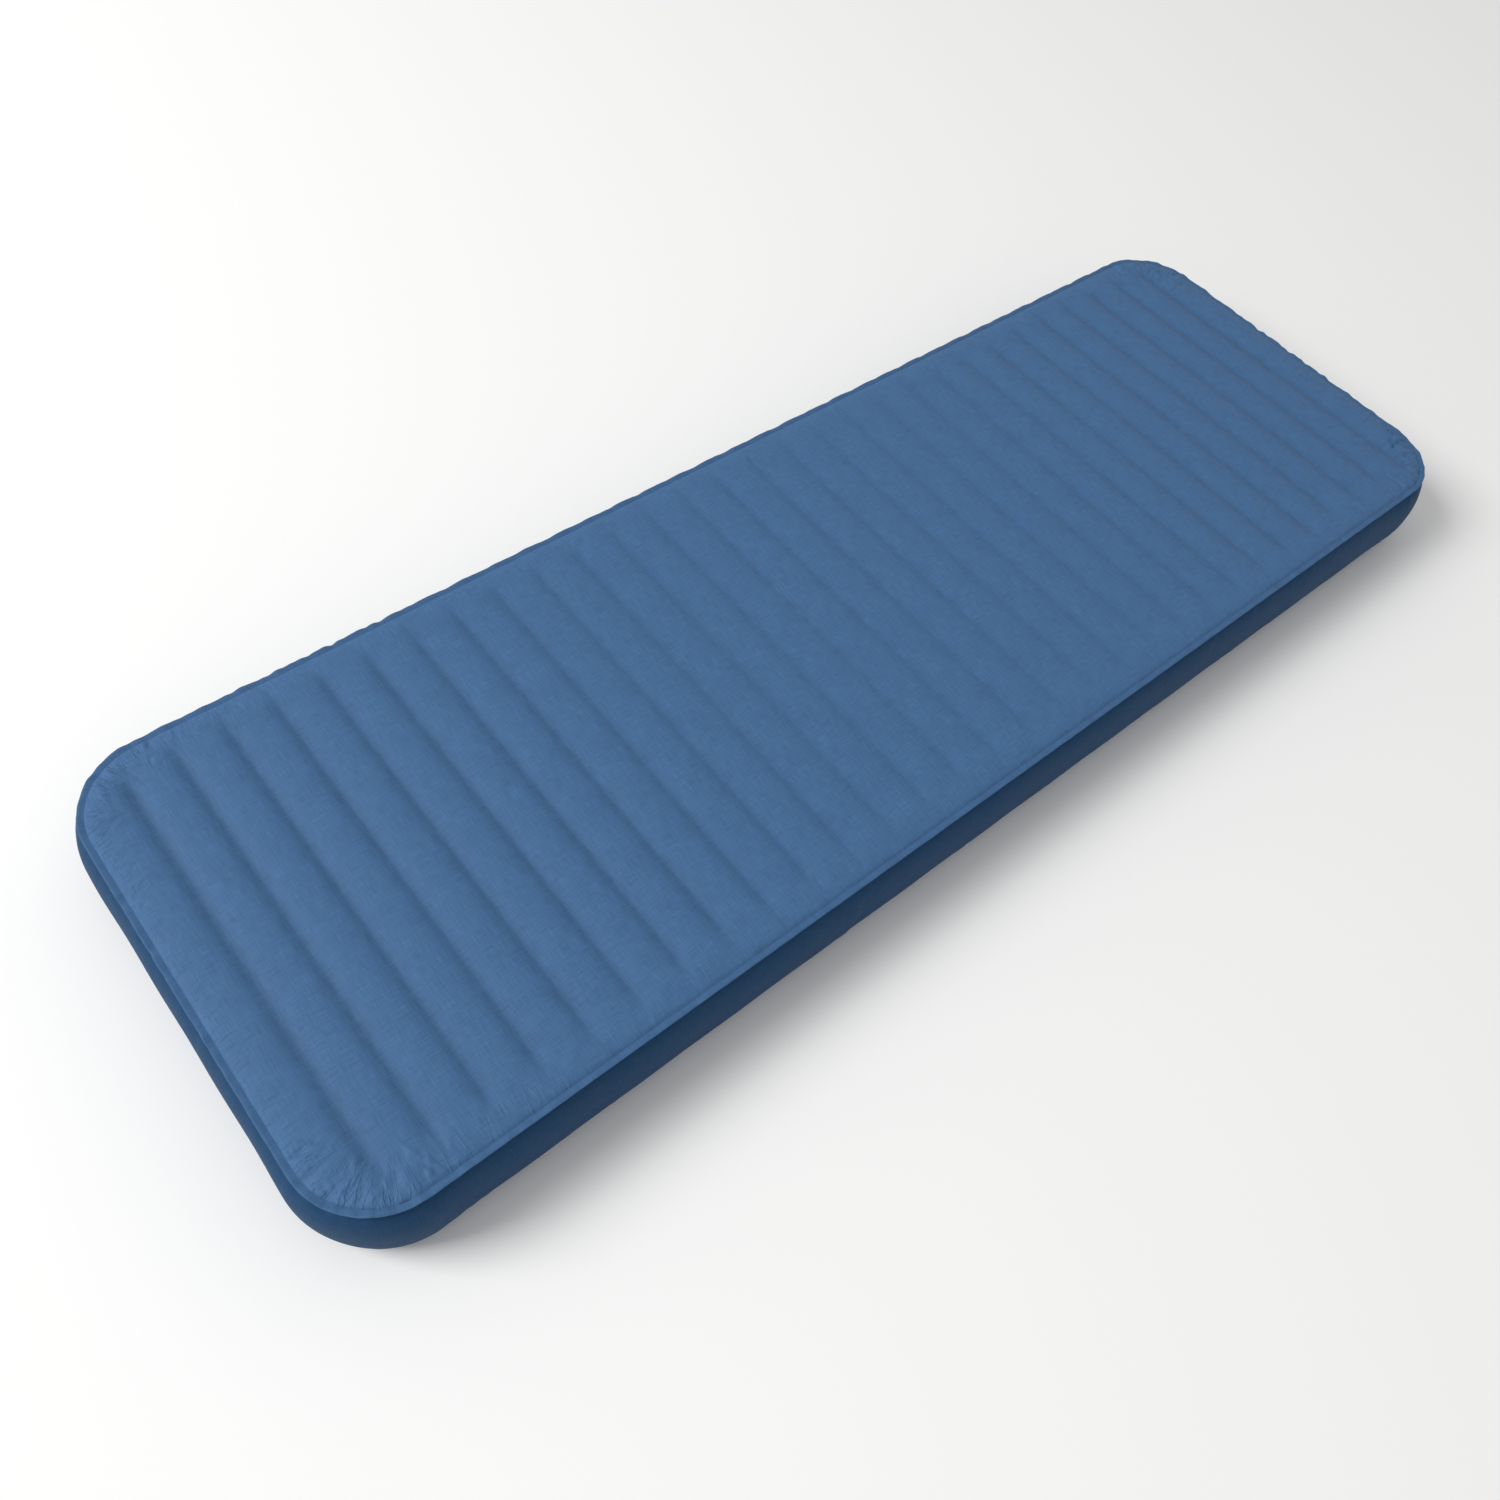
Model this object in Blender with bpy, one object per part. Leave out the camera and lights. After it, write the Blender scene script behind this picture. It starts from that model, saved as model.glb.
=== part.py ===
"""Boxed self-inflating camping mattress: welded skin, cored foam and two flat air valves.

Frame: +X runs along the mattress to the end that carries the valves, +Y runs across it and
+Z is up. The origin is on the ground at the middle of the whole object's box.
"""
import math

import bmesh
import bpy
from mathutils import Matrix, Vector

# Skin: the seam line is the rounded rectangle where a panel meets the side wall
SEAM_LENGTH = 1.954
SEAM_WIDTH = 0.642
SEAM_RADIUS = 0.094
SKIN = 0.0012
GAP = 0.0003
FLANGE = 0.008
FLANGE_RISE = 0.0015

# Heights above the ground
WALL_BOTTOM = SKIN + GAP
PANEL_SEAM = 0.1145
CROWN = 0.122
WALL_TOP = PANEL_SEAM - GAP

# Side wall section: how far it stands outside the seam line, and how tall its flat band is
BULGE = 0.021
BAND_LOW = 0.033
BAND_HIGH = 0.085
TAPE_HALF_WIDTH = 0.016

# Crosswise channels of the foam, which show as grooves in the top panel
CHANNELS = 30
CHANNEL_PITCH = 0.063
GROOVE_HALF_WIDTH = 0.010
GROOVE_DEPTH = 0.0035
EDGE_ROLL = 0.040
CHANNEL_WIDTH = 0.026
CHANNEL_LOW = 0.030
CHANNEL_HIGH = 0.092
CORE_INSET = 0.002

# How far cutting tools run past the solid they cut
OVERCUT = 0.010

# Valves: u is measured outwards from the side wall's outer face. ROOT is how far an added
# lug, arm or tab reaches into the body that it is moulded with.
VALVE_Y = 0.150
VALVE_Z = 0.5 * (BAND_LOW + BAND_HIGH)
PATCH_RADIUS = 0.0255
PATCH_THICKNESS = 0.0005
BASE_RADIUS = 0.021
BASE_THICKNESS = 0.0016
BORE_RADIUS = 0.0125
COLLAR_RADIUS = 0.015
COLLAR_DEPTH = 0.014
WALL_HOLE_RADIUS = COLLAR_RADIUS + GAP
BASE_FACE = 2 * GAP + PATCH_THICKNESS + BASE_THICKNESS
CAP_RADIUS = 0.015
CAP_THICKNESS = 0.0024
GASKET_INNER = 0.0128
GASKET_OUTER = 0.0145
GASKET_THICKNESS = 0.0006
CAP_UNDERSIDE = BASE_FACE + 2 * GAP + GASKET_THICKNESS
HINGE_OUT = BASE_FACE + 0.0023
HINGE_UP = 0.017
KNUCKLE_RADIUS = 0.0019
KNUCKLE_HALF_WIDTH = 0.0024
LUG_OUTER = 0.0047
LUG_HALF_HEIGHT = 0.0015
LUG_ROOT = 0.0007
PIN_RADIUS = 0.0008
PIN_HOLE_RADIUS = PIN_RADIUS + GAP
TAB_HALF_WIDTH = 0.005
TAB_REACH = 0.0035
ROOT = 0.002
SCREEN_THICKNESS = 0.0008
SCREEN_HOLE_RADIUS = 0.0026
SCREEN_RING_RADIUS = 0.0075
BASE_EDGE = 0.0005
CAP_EDGE = 0.0006
ROUND = 20

# The valves stand out at one end only, so the skin sits half of that off the middle
VALVE_PROUD = HINGE_OUT + KNUCKLE_RADIUS
CENTRE_X = -0.5 * VALVE_PROUD
END_X = CENTRE_X + 0.5 * SEAM_LENGTH + BULGE


def clear_scene():
    """Remove whatever the scene holds."""
    for thing in list(bpy.data.objects):
        bpy.data.objects.remove(thing, do_unlink=True)


def material(name, colour, roughness):
    """A plain finish for one kind of piece."""
    made = bpy.data.materials.new(name)
    made.use_nodes = True
    shader = made.node_tree.nodes["Principled BSDF"]
    shader.inputs["Base Color"].default_value = (*colour, 1.0)
    shader.inputs["Roughness"].default_value = roughness
    return made


def new_object(name, mesh_data, finish, location=(0, 0, 0)):
    """Put a bmesh into the scene as a named piece with its own material."""
    bmesh.ops.recalc_face_normals(mesh_data, faces=mesh_data.faces)
    mesh = bpy.data.meshes.new(name)
    mesh_data.to_mesh(mesh)
    mesh_data.free()
    mesh.materials.append(finish)
    piece = bpy.data.objects.new(name, mesh)
    piece.location = location
    bpy.context.collection.objects.link(piece)
    return piece


def cut(piece, cutter):
    """Take the cutter's volume away from a piece and keep the cutter as a hidden guide."""
    cutter.hide_render = True
    cutter.display_type = "WIRE"
    trim = piece.modifiers.new("cut_" + cutter.name, "BOOLEAN")
    trim.operation = "DIFFERENCE"
    trim.object = cutter


# Rounded rectangle ---------------------------------------------------------------------

def arc_turns():
    """Turns of a corner arc's points away from the long side; one meets the last groove."""
    last_groove = 0.5 * (CHANNELS - 1) * CHANNEL_PITCH
    over = last_groove - (0.5 * SEAM_LENGTH - SEAM_RADIUS)
    groove_turn = math.asin(over / SEAM_RADIUS)
    rest = 0.5 * math.pi - groove_turn
    return [0.0] + [groove_turn + rest * step / 5 for step in range(6)]


def outline(offset):
    """Corner points of the seam line grown by an offset, counter-clockwise."""
    half_x = 0.5 * SEAM_LENGTH - SEAM_RADIUS
    half_y = 0.5 * SEAM_WIDTH - SEAM_RADIUS
    radius = SEAM_RADIUS + offset
    centres = ((half_x, half_y), (-half_x, half_y), (-half_x, -half_y), (half_x, -half_y))
    from_side = arc_turns()
    from_end = [0.5 * math.pi - turn for turn in reversed(from_side)]
    points = []
    for quarter, (cx, cy) in enumerate(centres):
        for turn in (from_side if quarter % 2 else from_end):
            angle = 0.5 * math.pi * quarter + turn
            points.append((cx + radius * math.cos(angle), cy + radius * math.sin(angle)))
    return points


def half_width(x, offset=0.0):
    """Half of the outline's width at a place along the length."""
    half_x = 0.5 * SEAM_LENGTH - SEAM_RADIUS
    radius = SEAM_RADIUS + offset
    over = max(0.0, abs(x) - half_x)
    return 0.5 * SEAM_WIDTH - SEAM_RADIUS + math.sqrt(max(0.0, radius * radius - over * over))


def edge_distance(x, y):
    """How far a point inside the seam line is from it."""
    half_x = 0.5 * SEAM_LENGTH - SEAM_RADIUS
    half_y = 0.5 * SEAM_WIDTH - SEAM_RADIUS
    over_x = abs(x) - half_x
    over_y = abs(y) - half_y
    if over_x > 0 and over_y > 0:
        return SEAM_RADIUS - math.hypot(over_x, over_y)
    return SEAM_RADIUS - max(over_x, over_y)


def groove_centres():
    """Places of the crosswise channels along the length."""
    first = -0.5 * (CHANNELS - 1) * CHANNEL_PITCH
    return [first + index * CHANNEL_PITCH for index in range(CHANNELS)]


def columns():
    """Stations along the length: the corner arcs and three for every groove."""
    half_x = 0.5 * SEAM_LENGTH - SEAM_RADIUS
    stations = []
    for turn in arc_turns():
        reach = half_x + SEAM_RADIUS * math.sin(turn)
        stations += [-reach, reach]
    for centre in groove_centres():
        if abs(centre) < half_x - GROOVE_HALF_WIDTH:
            stations += [centre - GROOVE_HALF_WIDTH, centre, centre + GROOVE_HALF_WIDTH]
    return sorted(set(stations))


ROWS = (-1.0, -0.97, -0.92, -0.84, 0.0, 0.84, 0.92, 0.97, 1.0)


def crown_height(x, y):
    """Top surface of the top panel: rolls down to the seam and dips at each groove."""
    inside = min(1.0, max(0.0, edge_distance(x, y)) / EDGE_ROLL)
    dome = math.sqrt(1.0 - (1.0 - inside) ** 2)
    nearest = min(abs(x - centre) for centre in groove_centres())
    dip = max(0.0, 1.0 - nearest / GROOVE_HALF_WIDTH)
    return PANEL_SEAM + SKIN + (CROWN - PANEL_SEAM - SKIN) * dome - GROOVE_DEPTH * dip * inside


def place(x, y, z):
    """A point of the skin, whose middle sits off the object's middle."""
    return (CENTRE_X + x, y, z)


def pulled_in(station, inset):
    """A station's place along the length once the outline is drawn in by an inset."""
    half_x = 0.5 * SEAM_LENGTH - SEAM_RADIUS
    over = max(0.0, abs(station) - half_x)
    return math.copysign(abs(station) - over * inset / SEAM_RADIUS, station)


def panel_grid(mesh_data, inset, drop):
    """Grid of vertices over the seam line's area, at the crown's height less a drop."""
    grid = []
    for station in columns():
        x = pulled_in(station, inset)
        seam_width = half_width(station)
        width = half_width(x, -inset)
        column = []
        for row in ROWS:
            height = crown_height(station, seam_width * row) - drop
            column.append(mesh_data.verts.new(place(x, width * row, height)))
        grid.append(column)
    return grid


def fill_grid(mesh_data, grid):
    """Quads between neighbouring columns and rows."""
    for left, right in zip(grid, grid[1:]):
        for low in range(len(left) - 1):
            mesh_data.faces.new((left[low], right[low], right[low + 1], left[low + 1]))


def rim_of(grid):
    """The grid's boundary as one loop."""
    low_side = [column[0] for column in grid]
    far_end = grid[-1][1:]
    high_side = [column[-1] for column in reversed(grid[:-1])]
    near_end = list(reversed(grid[0][1:-1]))
    return low_side + far_end + high_side + near_end


def join_rims(mesh_data, upper, lower):
    """A band of quads between two loops of the same length."""
    for index in range(len(upper)):
        after = (index + 1) % len(upper)
        mesh_data.faces.new((upper[index], upper[after], lower[after], lower[index]))


def ring_solid(section):
    """A closed ring whose section is a list of (offset from the seam line, height) points."""
    mesh_data = bmesh.new()
    loops = []
    for offset, height in section:
        loops.append([mesh_data.verts.new(place(x, y, height)) for x, y in outline(offset)])
    for index, loop in enumerate(loops):
        join_rims(mesh_data, loop, loops[(index + 1) % len(loops)])
    return mesh_data


def wall_section():
    """Outer line of the side wall from its lower to its upper edge, as (offset, height)."""
    middle = 0.5 * (WALL_BOTTOM + WALL_TOP)
    lower = [(0.0, WALL_BOTTOM), (0.55 * BULGE, 0.011), (0.87 * BULGE, 0.021), (BULGE, BAND_LOW)]
    upper = [(offset, 2 * middle - height) for offset, height in reversed(lower)]
    upper[0] = (BULGE, BAND_HIGH)
    return lower + upper


# Soft pieces ---------------------------------------------------------------------------

def make_top_panel():
    """Upper fabric panel, crowned by the foam and grooved over its channels."""
    mesh_data = bmesh.new()
    upper = panel_grid(mesh_data, GAP, 0.0)
    lower = panel_grid(mesh_data, GAP, SKIN)
    fill_grid(mesh_data, upper)
    fill_grid(mesh_data, lower)
    join_rims(mesh_data, rim_of(upper), rim_of(lower))
    new_object("top_panel", mesh_data, material("top_fabric", (0.08, 0.17, 0.33), 0.75))


def make_bottom_panel():
    """Flat lower fabric panel that lies on the ground."""
    mesh_data = bmesh.new()
    lower = [mesh_data.verts.new(place(x, y, 0.0)) for x, y in outline(-GAP)]
    upper = [mesh_data.verts.new(place(x, y, SKIN)) for x, y in outline(-GAP)]
    mesh_data.faces.new(lower)
    mesh_data.faces.new(upper)
    join_rims(mesh_data, upper, lower)
    new_object("bottom_panel", mesh_data, material("base_fabric", (0.03, 0.05, 0.08), 0.8))


def make_flanges():
    """Weld flanges: the narrow margins that stand out where each panel meets the wall."""
    rise = FLANGE_RISE
    top = ring_solid([(0.0, PANEL_SEAM), (FLANGE, PANEL_SEAM + rise),
                      (FLANGE, PANEL_SEAM + rise + SKIN), (0.0, PANEL_SEAM + SKIN)])
    new_object("top_flange", top, material("top_flange_fabric", (0.10, 0.20, 0.37), 0.7))
    bottom = ring_solid([(0.0, 0.0), (FLANGE, 0.0), (FLANGE, SKIN), (0.0, SKIN)])
    new_object("bottom_flange", bottom, material("bottom_flange_fabric", (0.03, 0.05, 0.08), 0.8))


def make_side_wall():
    """One strip of fabric all round, bulged by the air, with a hole for each valve."""
    outer = wall_section()
    inner = [(offset - SKIN, height) for offset, height in reversed(outer)]
    finish = material("side_fabric", (0.05, 0.11, 0.22), 0.78)
    wall = new_object("side_wall", ring_solid(outer + inner), finish)
    for name, y in (("inflate_hole", VALVE_Y), ("deflate_hole", -VALVE_Y)):
        hole = turned(name, [(-OVERCUT, 0.0), (-OVERCUT, WALL_HOLE_RADIUS),
                             (OVERCUT, WALL_HOLE_RADIUS), (OVERCUT, 0.0)], y, finish)
        cut(wall, hole)


def make_joint_tape():
    """Tape inside the back of the wall, where the strip's two ends meet."""
    outer = [(offset - SKIN - GAP, height) for offset, height in wall_section()[1:-1]]
    inner = [(offset - SKIN, height) for offset, height in reversed(outer)]
    mesh_data = bmesh.new()
    ends = []
    for x in (-TAPE_HALF_WIDTH, TAPE_HALF_WIDTH):
        ends.append([mesh_data.verts.new(place(x, 0.5 * SEAM_WIDTH + offset, height))
                     for offset, height in outer + inner])
    mesh_data.faces.new(ends[0])
    mesh_data.faces.new(ends[1])
    join_rims(mesh_data, ends[0], ends[1])
    new_object("side_wall_joint_tape", mesh_data, material("tape", (0.04, 0.09, 0.18), 0.6))


def channel_prisms():
    """Six-sided prisms that run right across the foam, one for each channel."""
    mesh_data = bmesh.new()
    reach = 0.5 * SEAM_WIDTH + OVERCUT
    half = 0.5 * CHANNEL_WIDTH
    section = [(0.0, CHANNEL_LOW), (half, CHANNEL_LOW + half), (half, CHANNEL_HIGH - half),
               (0.0, CHANNEL_HIGH), (-half, CHANNEL_HIGH - half), (-half, CHANNEL_LOW + half)]
    for centre in groove_centres():
        near = [mesh_data.verts.new(place(centre + x, -reach, z)) for x, z in section]
        far = [mesh_data.verts.new(place(centre + x, reach, z)) for x, z in section]
        mesh_data.faces.new(near)
        mesh_data.faces.new(far)
        join_rims(mesh_data, near, far)
    return mesh_data


def make_foam_core():
    """Open-cell foam block bonded between the panels, cored by the crosswise channels."""
    mesh_data = bmesh.new()
    upper = panel_grid(mesh_data, CORE_INSET, SKIN + 2 * GAP)
    fill_grid(mesh_data, upper)
    upper_rim = rim_of(upper)
    lower_rim = [mesh_data.verts.new((vert.co.x, vert.co.y, SKIN + GAP)) for vert in upper_rim]
    join_rims(mesh_data, upper_rim, lower_rim)
    mesh_data.faces.new(lower_rim)
    finish = material("foam", (0.75, 0.62, 0.35), 0.95)
    core = new_object("foam_core", mesh_data, finish)
    cut(core, new_object("core_channels", channel_prisms(), finish))


# Valves --------------------------------------------------------------------------------

def turned_mesh(profile):
    """A closed body turned about the local u axis (+X) from (u, radius) points.

    The profile runs round the section. Points on the axis close the body there.
    """
    mesh_data = bmesh.new()
    loops = []
    for u, radius in profile:
        if radius == 0.0:
            loops.append([mesh_data.verts.new((u, 0.0, 0.0))])
            continue
        turns = [2 * math.pi * step / ROUND for step in range(ROUND)]
        loops.append([mesh_data.verts.new((u, radius * math.cos(a), radius * math.sin(a)))
                      for a in turns])
    pairs = list(zip(loops, loops[1:] + loops[:1]))
    for first, second in pairs:
        if len(first) == 1 and len(second) == 1:
            continue
        if len(first) == 1 or len(second) == 1:
            tip, rim = (first[0], second) if len(first) == 1 else (second[0], first)
            for index in range(ROUND):
                mesh_data.faces.new((tip, rim[index], rim[(index + 1) % ROUND]))
            continue
        join_rims(mesh_data, first, second)
    return mesh_data


def turned(name, profile, y, finish):
    """A turned piece on the axis of the valve at the given y."""
    return new_object(name, turned_mesh(profile), finish, (END_X, y, VALVE_Z))


def add_box(mesh_data, low, high):
    """A box between two corners, added to a bmesh."""
    size = Vector(high) - Vector(low)
    middle = 0.5 * (Vector(high) + Vector(low))
    bmesh.ops.create_cube(mesh_data, size=1.0,
                          matrix=Matrix.Translation(middle) @ Matrix.Diagonal((*size, 1.0)))


def add_cross_cylinder(mesh_data, radius, y_low, y_high, sides=12):
    """A cylinder along Y about the cap's hinge axis, added to a bmesh."""
    middle = Vector((HINGE_OUT, 0.5 * (y_low + y_high), HINGE_UP))
    turn = Matrix.Rotation(0.5 * math.pi, 4, "X")
    bmesh.ops.create_cone(mesh_data, cap_ends=True, segments=sides, radius1=radius,
                          radius2=radius, depth=y_high - y_low,
                          matrix=Matrix.Translation(middle) @ turn)


def join_piece(piece, addition):
    """Unite a helper solid with a piece and hide the helper."""
    addition.hide_render = True
    addition.display_type = "WIRE"
    union = piece.modifiers.new("join_" + addition.name, "BOOLEAN")
    union.operation = "UNION"
    union.object = addition


def make_patch(prefix, y, finish):
    """Round reinforcement of fabric between the wall and the valve's flange."""
    low, high = GAP, GAP + PATCH_THICKNESS
    turned(prefix + "_valve_patch", [(low, WALL_HOLE_RADIUS), (low, PATCH_RADIUS),
                                     (high, PATCH_RADIUS), (high, WALL_HOLE_RADIUS)], y, finish)


def make_base(prefix, y, finish):
    """Moulded valve body: welding flange, collar through the wall and two hinge lugs."""
    back = BASE_FACE - BASE_THICKNESS
    base = turned(prefix + "_valve_base", [
        (-COLLAR_DEPTH, BORE_RADIUS), (-COLLAR_DEPTH, COLLAR_RADIUS), (back, COLLAR_RADIUS),
        (back, BASE_RADIUS), (BASE_FACE - BASE_EDGE, BASE_RADIUS),
        (BASE_FACE, BASE_RADIUS - BASE_EDGE),
        (BASE_FACE, BORE_RADIUS)], y, finish)
    lugs = bmesh.new()
    for low, high in ((-LUG_OUTER, -KNUCKLE_HALF_WIDTH - GAP), (KNUCKLE_HALF_WIDTH + GAP, LUG_OUTER)):
        add_box(lugs, (BASE_FACE - LUG_ROOT, low, HINGE_UP - LUG_HALF_HEIGHT),
                (HINGE_OUT + LUG_HALF_HEIGHT, high, HINGE_UP + LUG_HALF_HEIGHT))
    join_piece(base, new_object(prefix + "_lugs", lugs, finish, base.location))
    drill = bmesh.new()
    add_cross_cylinder(drill, PIN_HOLE_RADIUS, -LUG_OUTER - ROOT, LUG_OUTER + ROOT)
    cut(base, new_object(prefix + "_lug_drill", drill, finish, base.location))


def make_pin(prefix, y, finish):
    """Hinge pin through the lugs and the cap's knuckle."""
    mesh_data = bmesh.new()
    add_cross_cylinder(mesh_data, PIN_RADIUS, -LUG_OUTER, LUG_OUTER)
    new_object(prefix + "_hinge_pin", mesh_data, finish, (END_X, y, VALVE_Z))


def make_screen(prefix, y, finish):
    """Perforated disc at the inner end of the collar, which keeps foam out of the valve."""
    radius = BORE_RADIUS - GAP
    low = -COLLAR_DEPTH + GAP
    high = low + SCREEN_THICKNESS
    screen = turned(prefix + "_valve_screen", [(low, 0.0), (low, radius), (high, radius),
                                               (high, 0.0)], y, finish)
    holes = bmesh.new()
    places = [(0.0, 0.0)]
    for step in range(6):
        turn = math.pi * step / 3
        places.append((SCREEN_RING_RADIUS * math.cos(turn), SCREEN_RING_RADIUS * math.sin(turn)))
    side_on = Matrix.Rotation(0.5 * math.pi, 4, "Y")
    for across, up in places:
        middle = Matrix.Translation((0.5 * (low + high), across, up))
        bmesh.ops.create_cone(holes, cap_ends=True, segments=8, radius1=SCREEN_HOLE_RADIUS,
                              radius2=SCREEN_HOLE_RADIUS, depth=5 * SCREEN_THICKNESS,
                              matrix=middle @ side_on)
    cut(screen, new_object(prefix + "_screen_holes", holes, finish, screen.location))


def make_cap(prefix, y, finish, seal_finish):
    """Cap with a finger tab and hinge knuckle, and the flat gasket under its rim."""
    low, high = CAP_UNDERSIDE, CAP_UNDERSIDE + CAP_THICKNESS
    inset = 0.0002
    hinge = Vector((HINGE_OUT, 0.0, HINGE_UP))
    mesh_data = turned_mesh([(low, 0.0), (low, CAP_RADIUS), (high - CAP_EDGE, CAP_RADIUS),
                             (high, CAP_RADIUS - CAP_EDGE), (high, 0.0)])
    bmesh.ops.translate(mesh_data, verts=mesh_data.verts, vec=-hinge)
    place_hinge = Vector((END_X, y, VALVE_Z)) + hinge
    cap = new_object(prefix + "_valve_cap", mesh_data, finish, place_hinge)
    arm = bmesh.new()
    add_box(arm, (low + inset, -KNUCKLE_HALF_WIDTH, CAP_RADIUS - ROOT),
            (high - 4 * inset, KNUCKLE_HALF_WIDTH, HINGE_UP))
    bmesh.ops.translate(arm, verts=arm.verts, vec=-hinge)
    join_piece(cap, new_object(prefix + "_cap_arm", arm, finish, place_hinge))
    knuckle = bmesh.new()
    add_cross_cylinder(knuckle, KNUCKLE_RADIUS, -KNUCKLE_HALF_WIDTH, KNUCKLE_HALF_WIDTH)
    bmesh.ops.translate(knuckle, verts=knuckle.verts, vec=-hinge)
    join_piece(cap, new_object(prefix + "_cap_knuckle", knuckle, finish, place_hinge))
    tab = bmesh.new()
    add_box(tab, (low + inset, -TAB_HALF_WIDTH, -CAP_RADIUS - TAB_REACH),
            (high - 5 * inset, TAB_HALF_WIDTH, -CAP_RADIUS + ROOT))
    bmesh.ops.translate(tab, verts=tab.verts, vec=-hinge)
    join_piece(cap, new_object(prefix + "_cap_tab", tab, finish, place_hinge))
    drill = bmesh.new()
    add_cross_cylinder(drill, PIN_HOLE_RADIUS, -LUG_OUTER, LUG_OUTER)
    bmesh.ops.translate(drill, verts=drill.verts, vec=-hinge)
    cut(cap, new_object(prefix + "_cap_drill", drill, finish, place_hinge))
    seal_low = BASE_FACE + GAP
    seal_high = seal_low + GASKET_THICKNESS
    turned(prefix + "_cap_gasket", [(seal_low, GASKET_INNER), (seal_low, GASKET_OUTER),
                                    (seal_high, GASKET_OUTER), (seal_high, GASKET_INNER)],
           y, seal_finish)


SEAT_BACK = -0.0090
SEAT_FRONT = -0.0072
SEAT_INNER = 0.0095
HUB_RADIUS = 0.0028
SPOKE_HALF_WIDTH = 0.0008
STEM_RADIUS = 0.0010
BEAD_RADIUS = 0.0018
BEAD_LENGTH = 0.0010
STEM_TIP = 0.0016
FLAP_RADIUS = 0.0105
FLAP_THICKNESS = 0.0008
FLAP_TRAVEL = 0.0022


def make_seat(y, finish):
    """Three-spoked seat ring in the inflation valve's bore, with the hub for the flap's stem."""
    outer = BORE_RADIUS - GAP
    seat = turned("inflate_valve_seat", [
        (SEAT_BACK, SEAT_INNER), (SEAT_BACK, outer), (SEAT_FRONT, outer),
        (SEAT_FRONT, SEAT_INNER)], y, finish)
    middle = turned("seat_hub", [(SEAT_BACK, 0.0), (SEAT_BACK, HUB_RADIUS),
                                 (SEAT_FRONT, HUB_RADIUS), (SEAT_FRONT, 0.0)], y, finish)
    inset = 0.0002
    for number in range(3):
        spoke = bmesh.new()
        add_box(spoke, (SEAT_BACK + inset, -SPOKE_HALF_WIDTH, 0.0),
                (SEAT_FRONT - inset, SPOKE_HALF_WIDTH, SEAT_INNER + 0.5 * ROOT))
        turn = Matrix.Rotation(2 * math.pi * number / 3, 3, "X")
        bmesh.ops.rotate(spoke, cent=(0, 0, 0), matrix=turn, verts=spoke.verts)
        name = "seat_spoke_" + str(number + 1)
        join_piece(seat, new_object(name, spoke, finish, seat.location))
    join_piece(seat, middle)
    low, high = SEAT_BACK - ROOT, SEAT_FRONT + ROOT
    cut(seat, turned("seat_drill", [(low, 0.0), (low, STEM_RADIUS + GAP),
                                    (high, STEM_RADIUS + GAP), (high, 0.0)], y, finish))


def make_flap(y, finish):
    """Soft one-way flap on the inner side of the seat, held by its beaded stem."""
    face = SEAT_BACK - GAP
    back = face - FLAP_THICKNESS
    bead = SEAT_FRONT + GAP + FLAP_TRAVEL
    turned("inflate_valve_flap", [(back, 0.0), (back, FLAP_RADIUS), (face, FLAP_RADIUS),
                                  (face, STEM_RADIUS), (bead, STEM_RADIUS),
                                  (bead, BEAD_RADIUS), (bead + BEAD_LENGTH, BEAD_RADIUS),
                                  (bead + STEM_TIP, STEM_RADIUS), (bead + STEM_TIP, 0.0)],
           y, finish)


def make_valves():
    """Two flat valves on the end wall; only the inflation valve has a one-way flap."""
    patch_fabric = material("patch_fabric", (0.04, 0.09, 0.18), 0.7)
    body_plastic = material("valve_plastic", (0.03, 0.035, 0.04), 0.4)
    cap_plastics = {"inflate": material("inflate_cap_plastic", (0.05, 0.14, 0.30), 0.45),
                    "deflate": material("deflate_cap_plastic", (0.03, 0.035, 0.04), 0.45)}
    rubber = material("seal_rubber", (0.02, 0.02, 0.02), 0.8)
    silicone = material("flap_silicone", (0.55, 0.57, 0.58), 0.5)
    steel = material("pin_steel", (0.6, 0.6, 0.6), 0.3)
    for prefix, y in (("inflate", VALVE_Y), ("deflate", -VALVE_Y)):
        make_patch(prefix, y, patch_fabric)
        make_base(prefix, y, body_plastic)
        make_pin(prefix, y, steel)
        make_screen(prefix, y, body_plastic)
        make_cap(prefix, y, cap_plastics[prefix], rubber)
    make_seat(VALVE_Y, body_plastic)
    make_flap(VALVE_Y, silicone)


clear_scene()
make_top_panel()
make_bottom_panel()
make_flanges()
make_side_wall()
make_joint_tape()
make_foam_core()
make_valves()
bpy.context.view_layer.update()
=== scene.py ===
import math

import bmesh
import bpy
import numpy as np
from mathutils import Matrix, Vector


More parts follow.
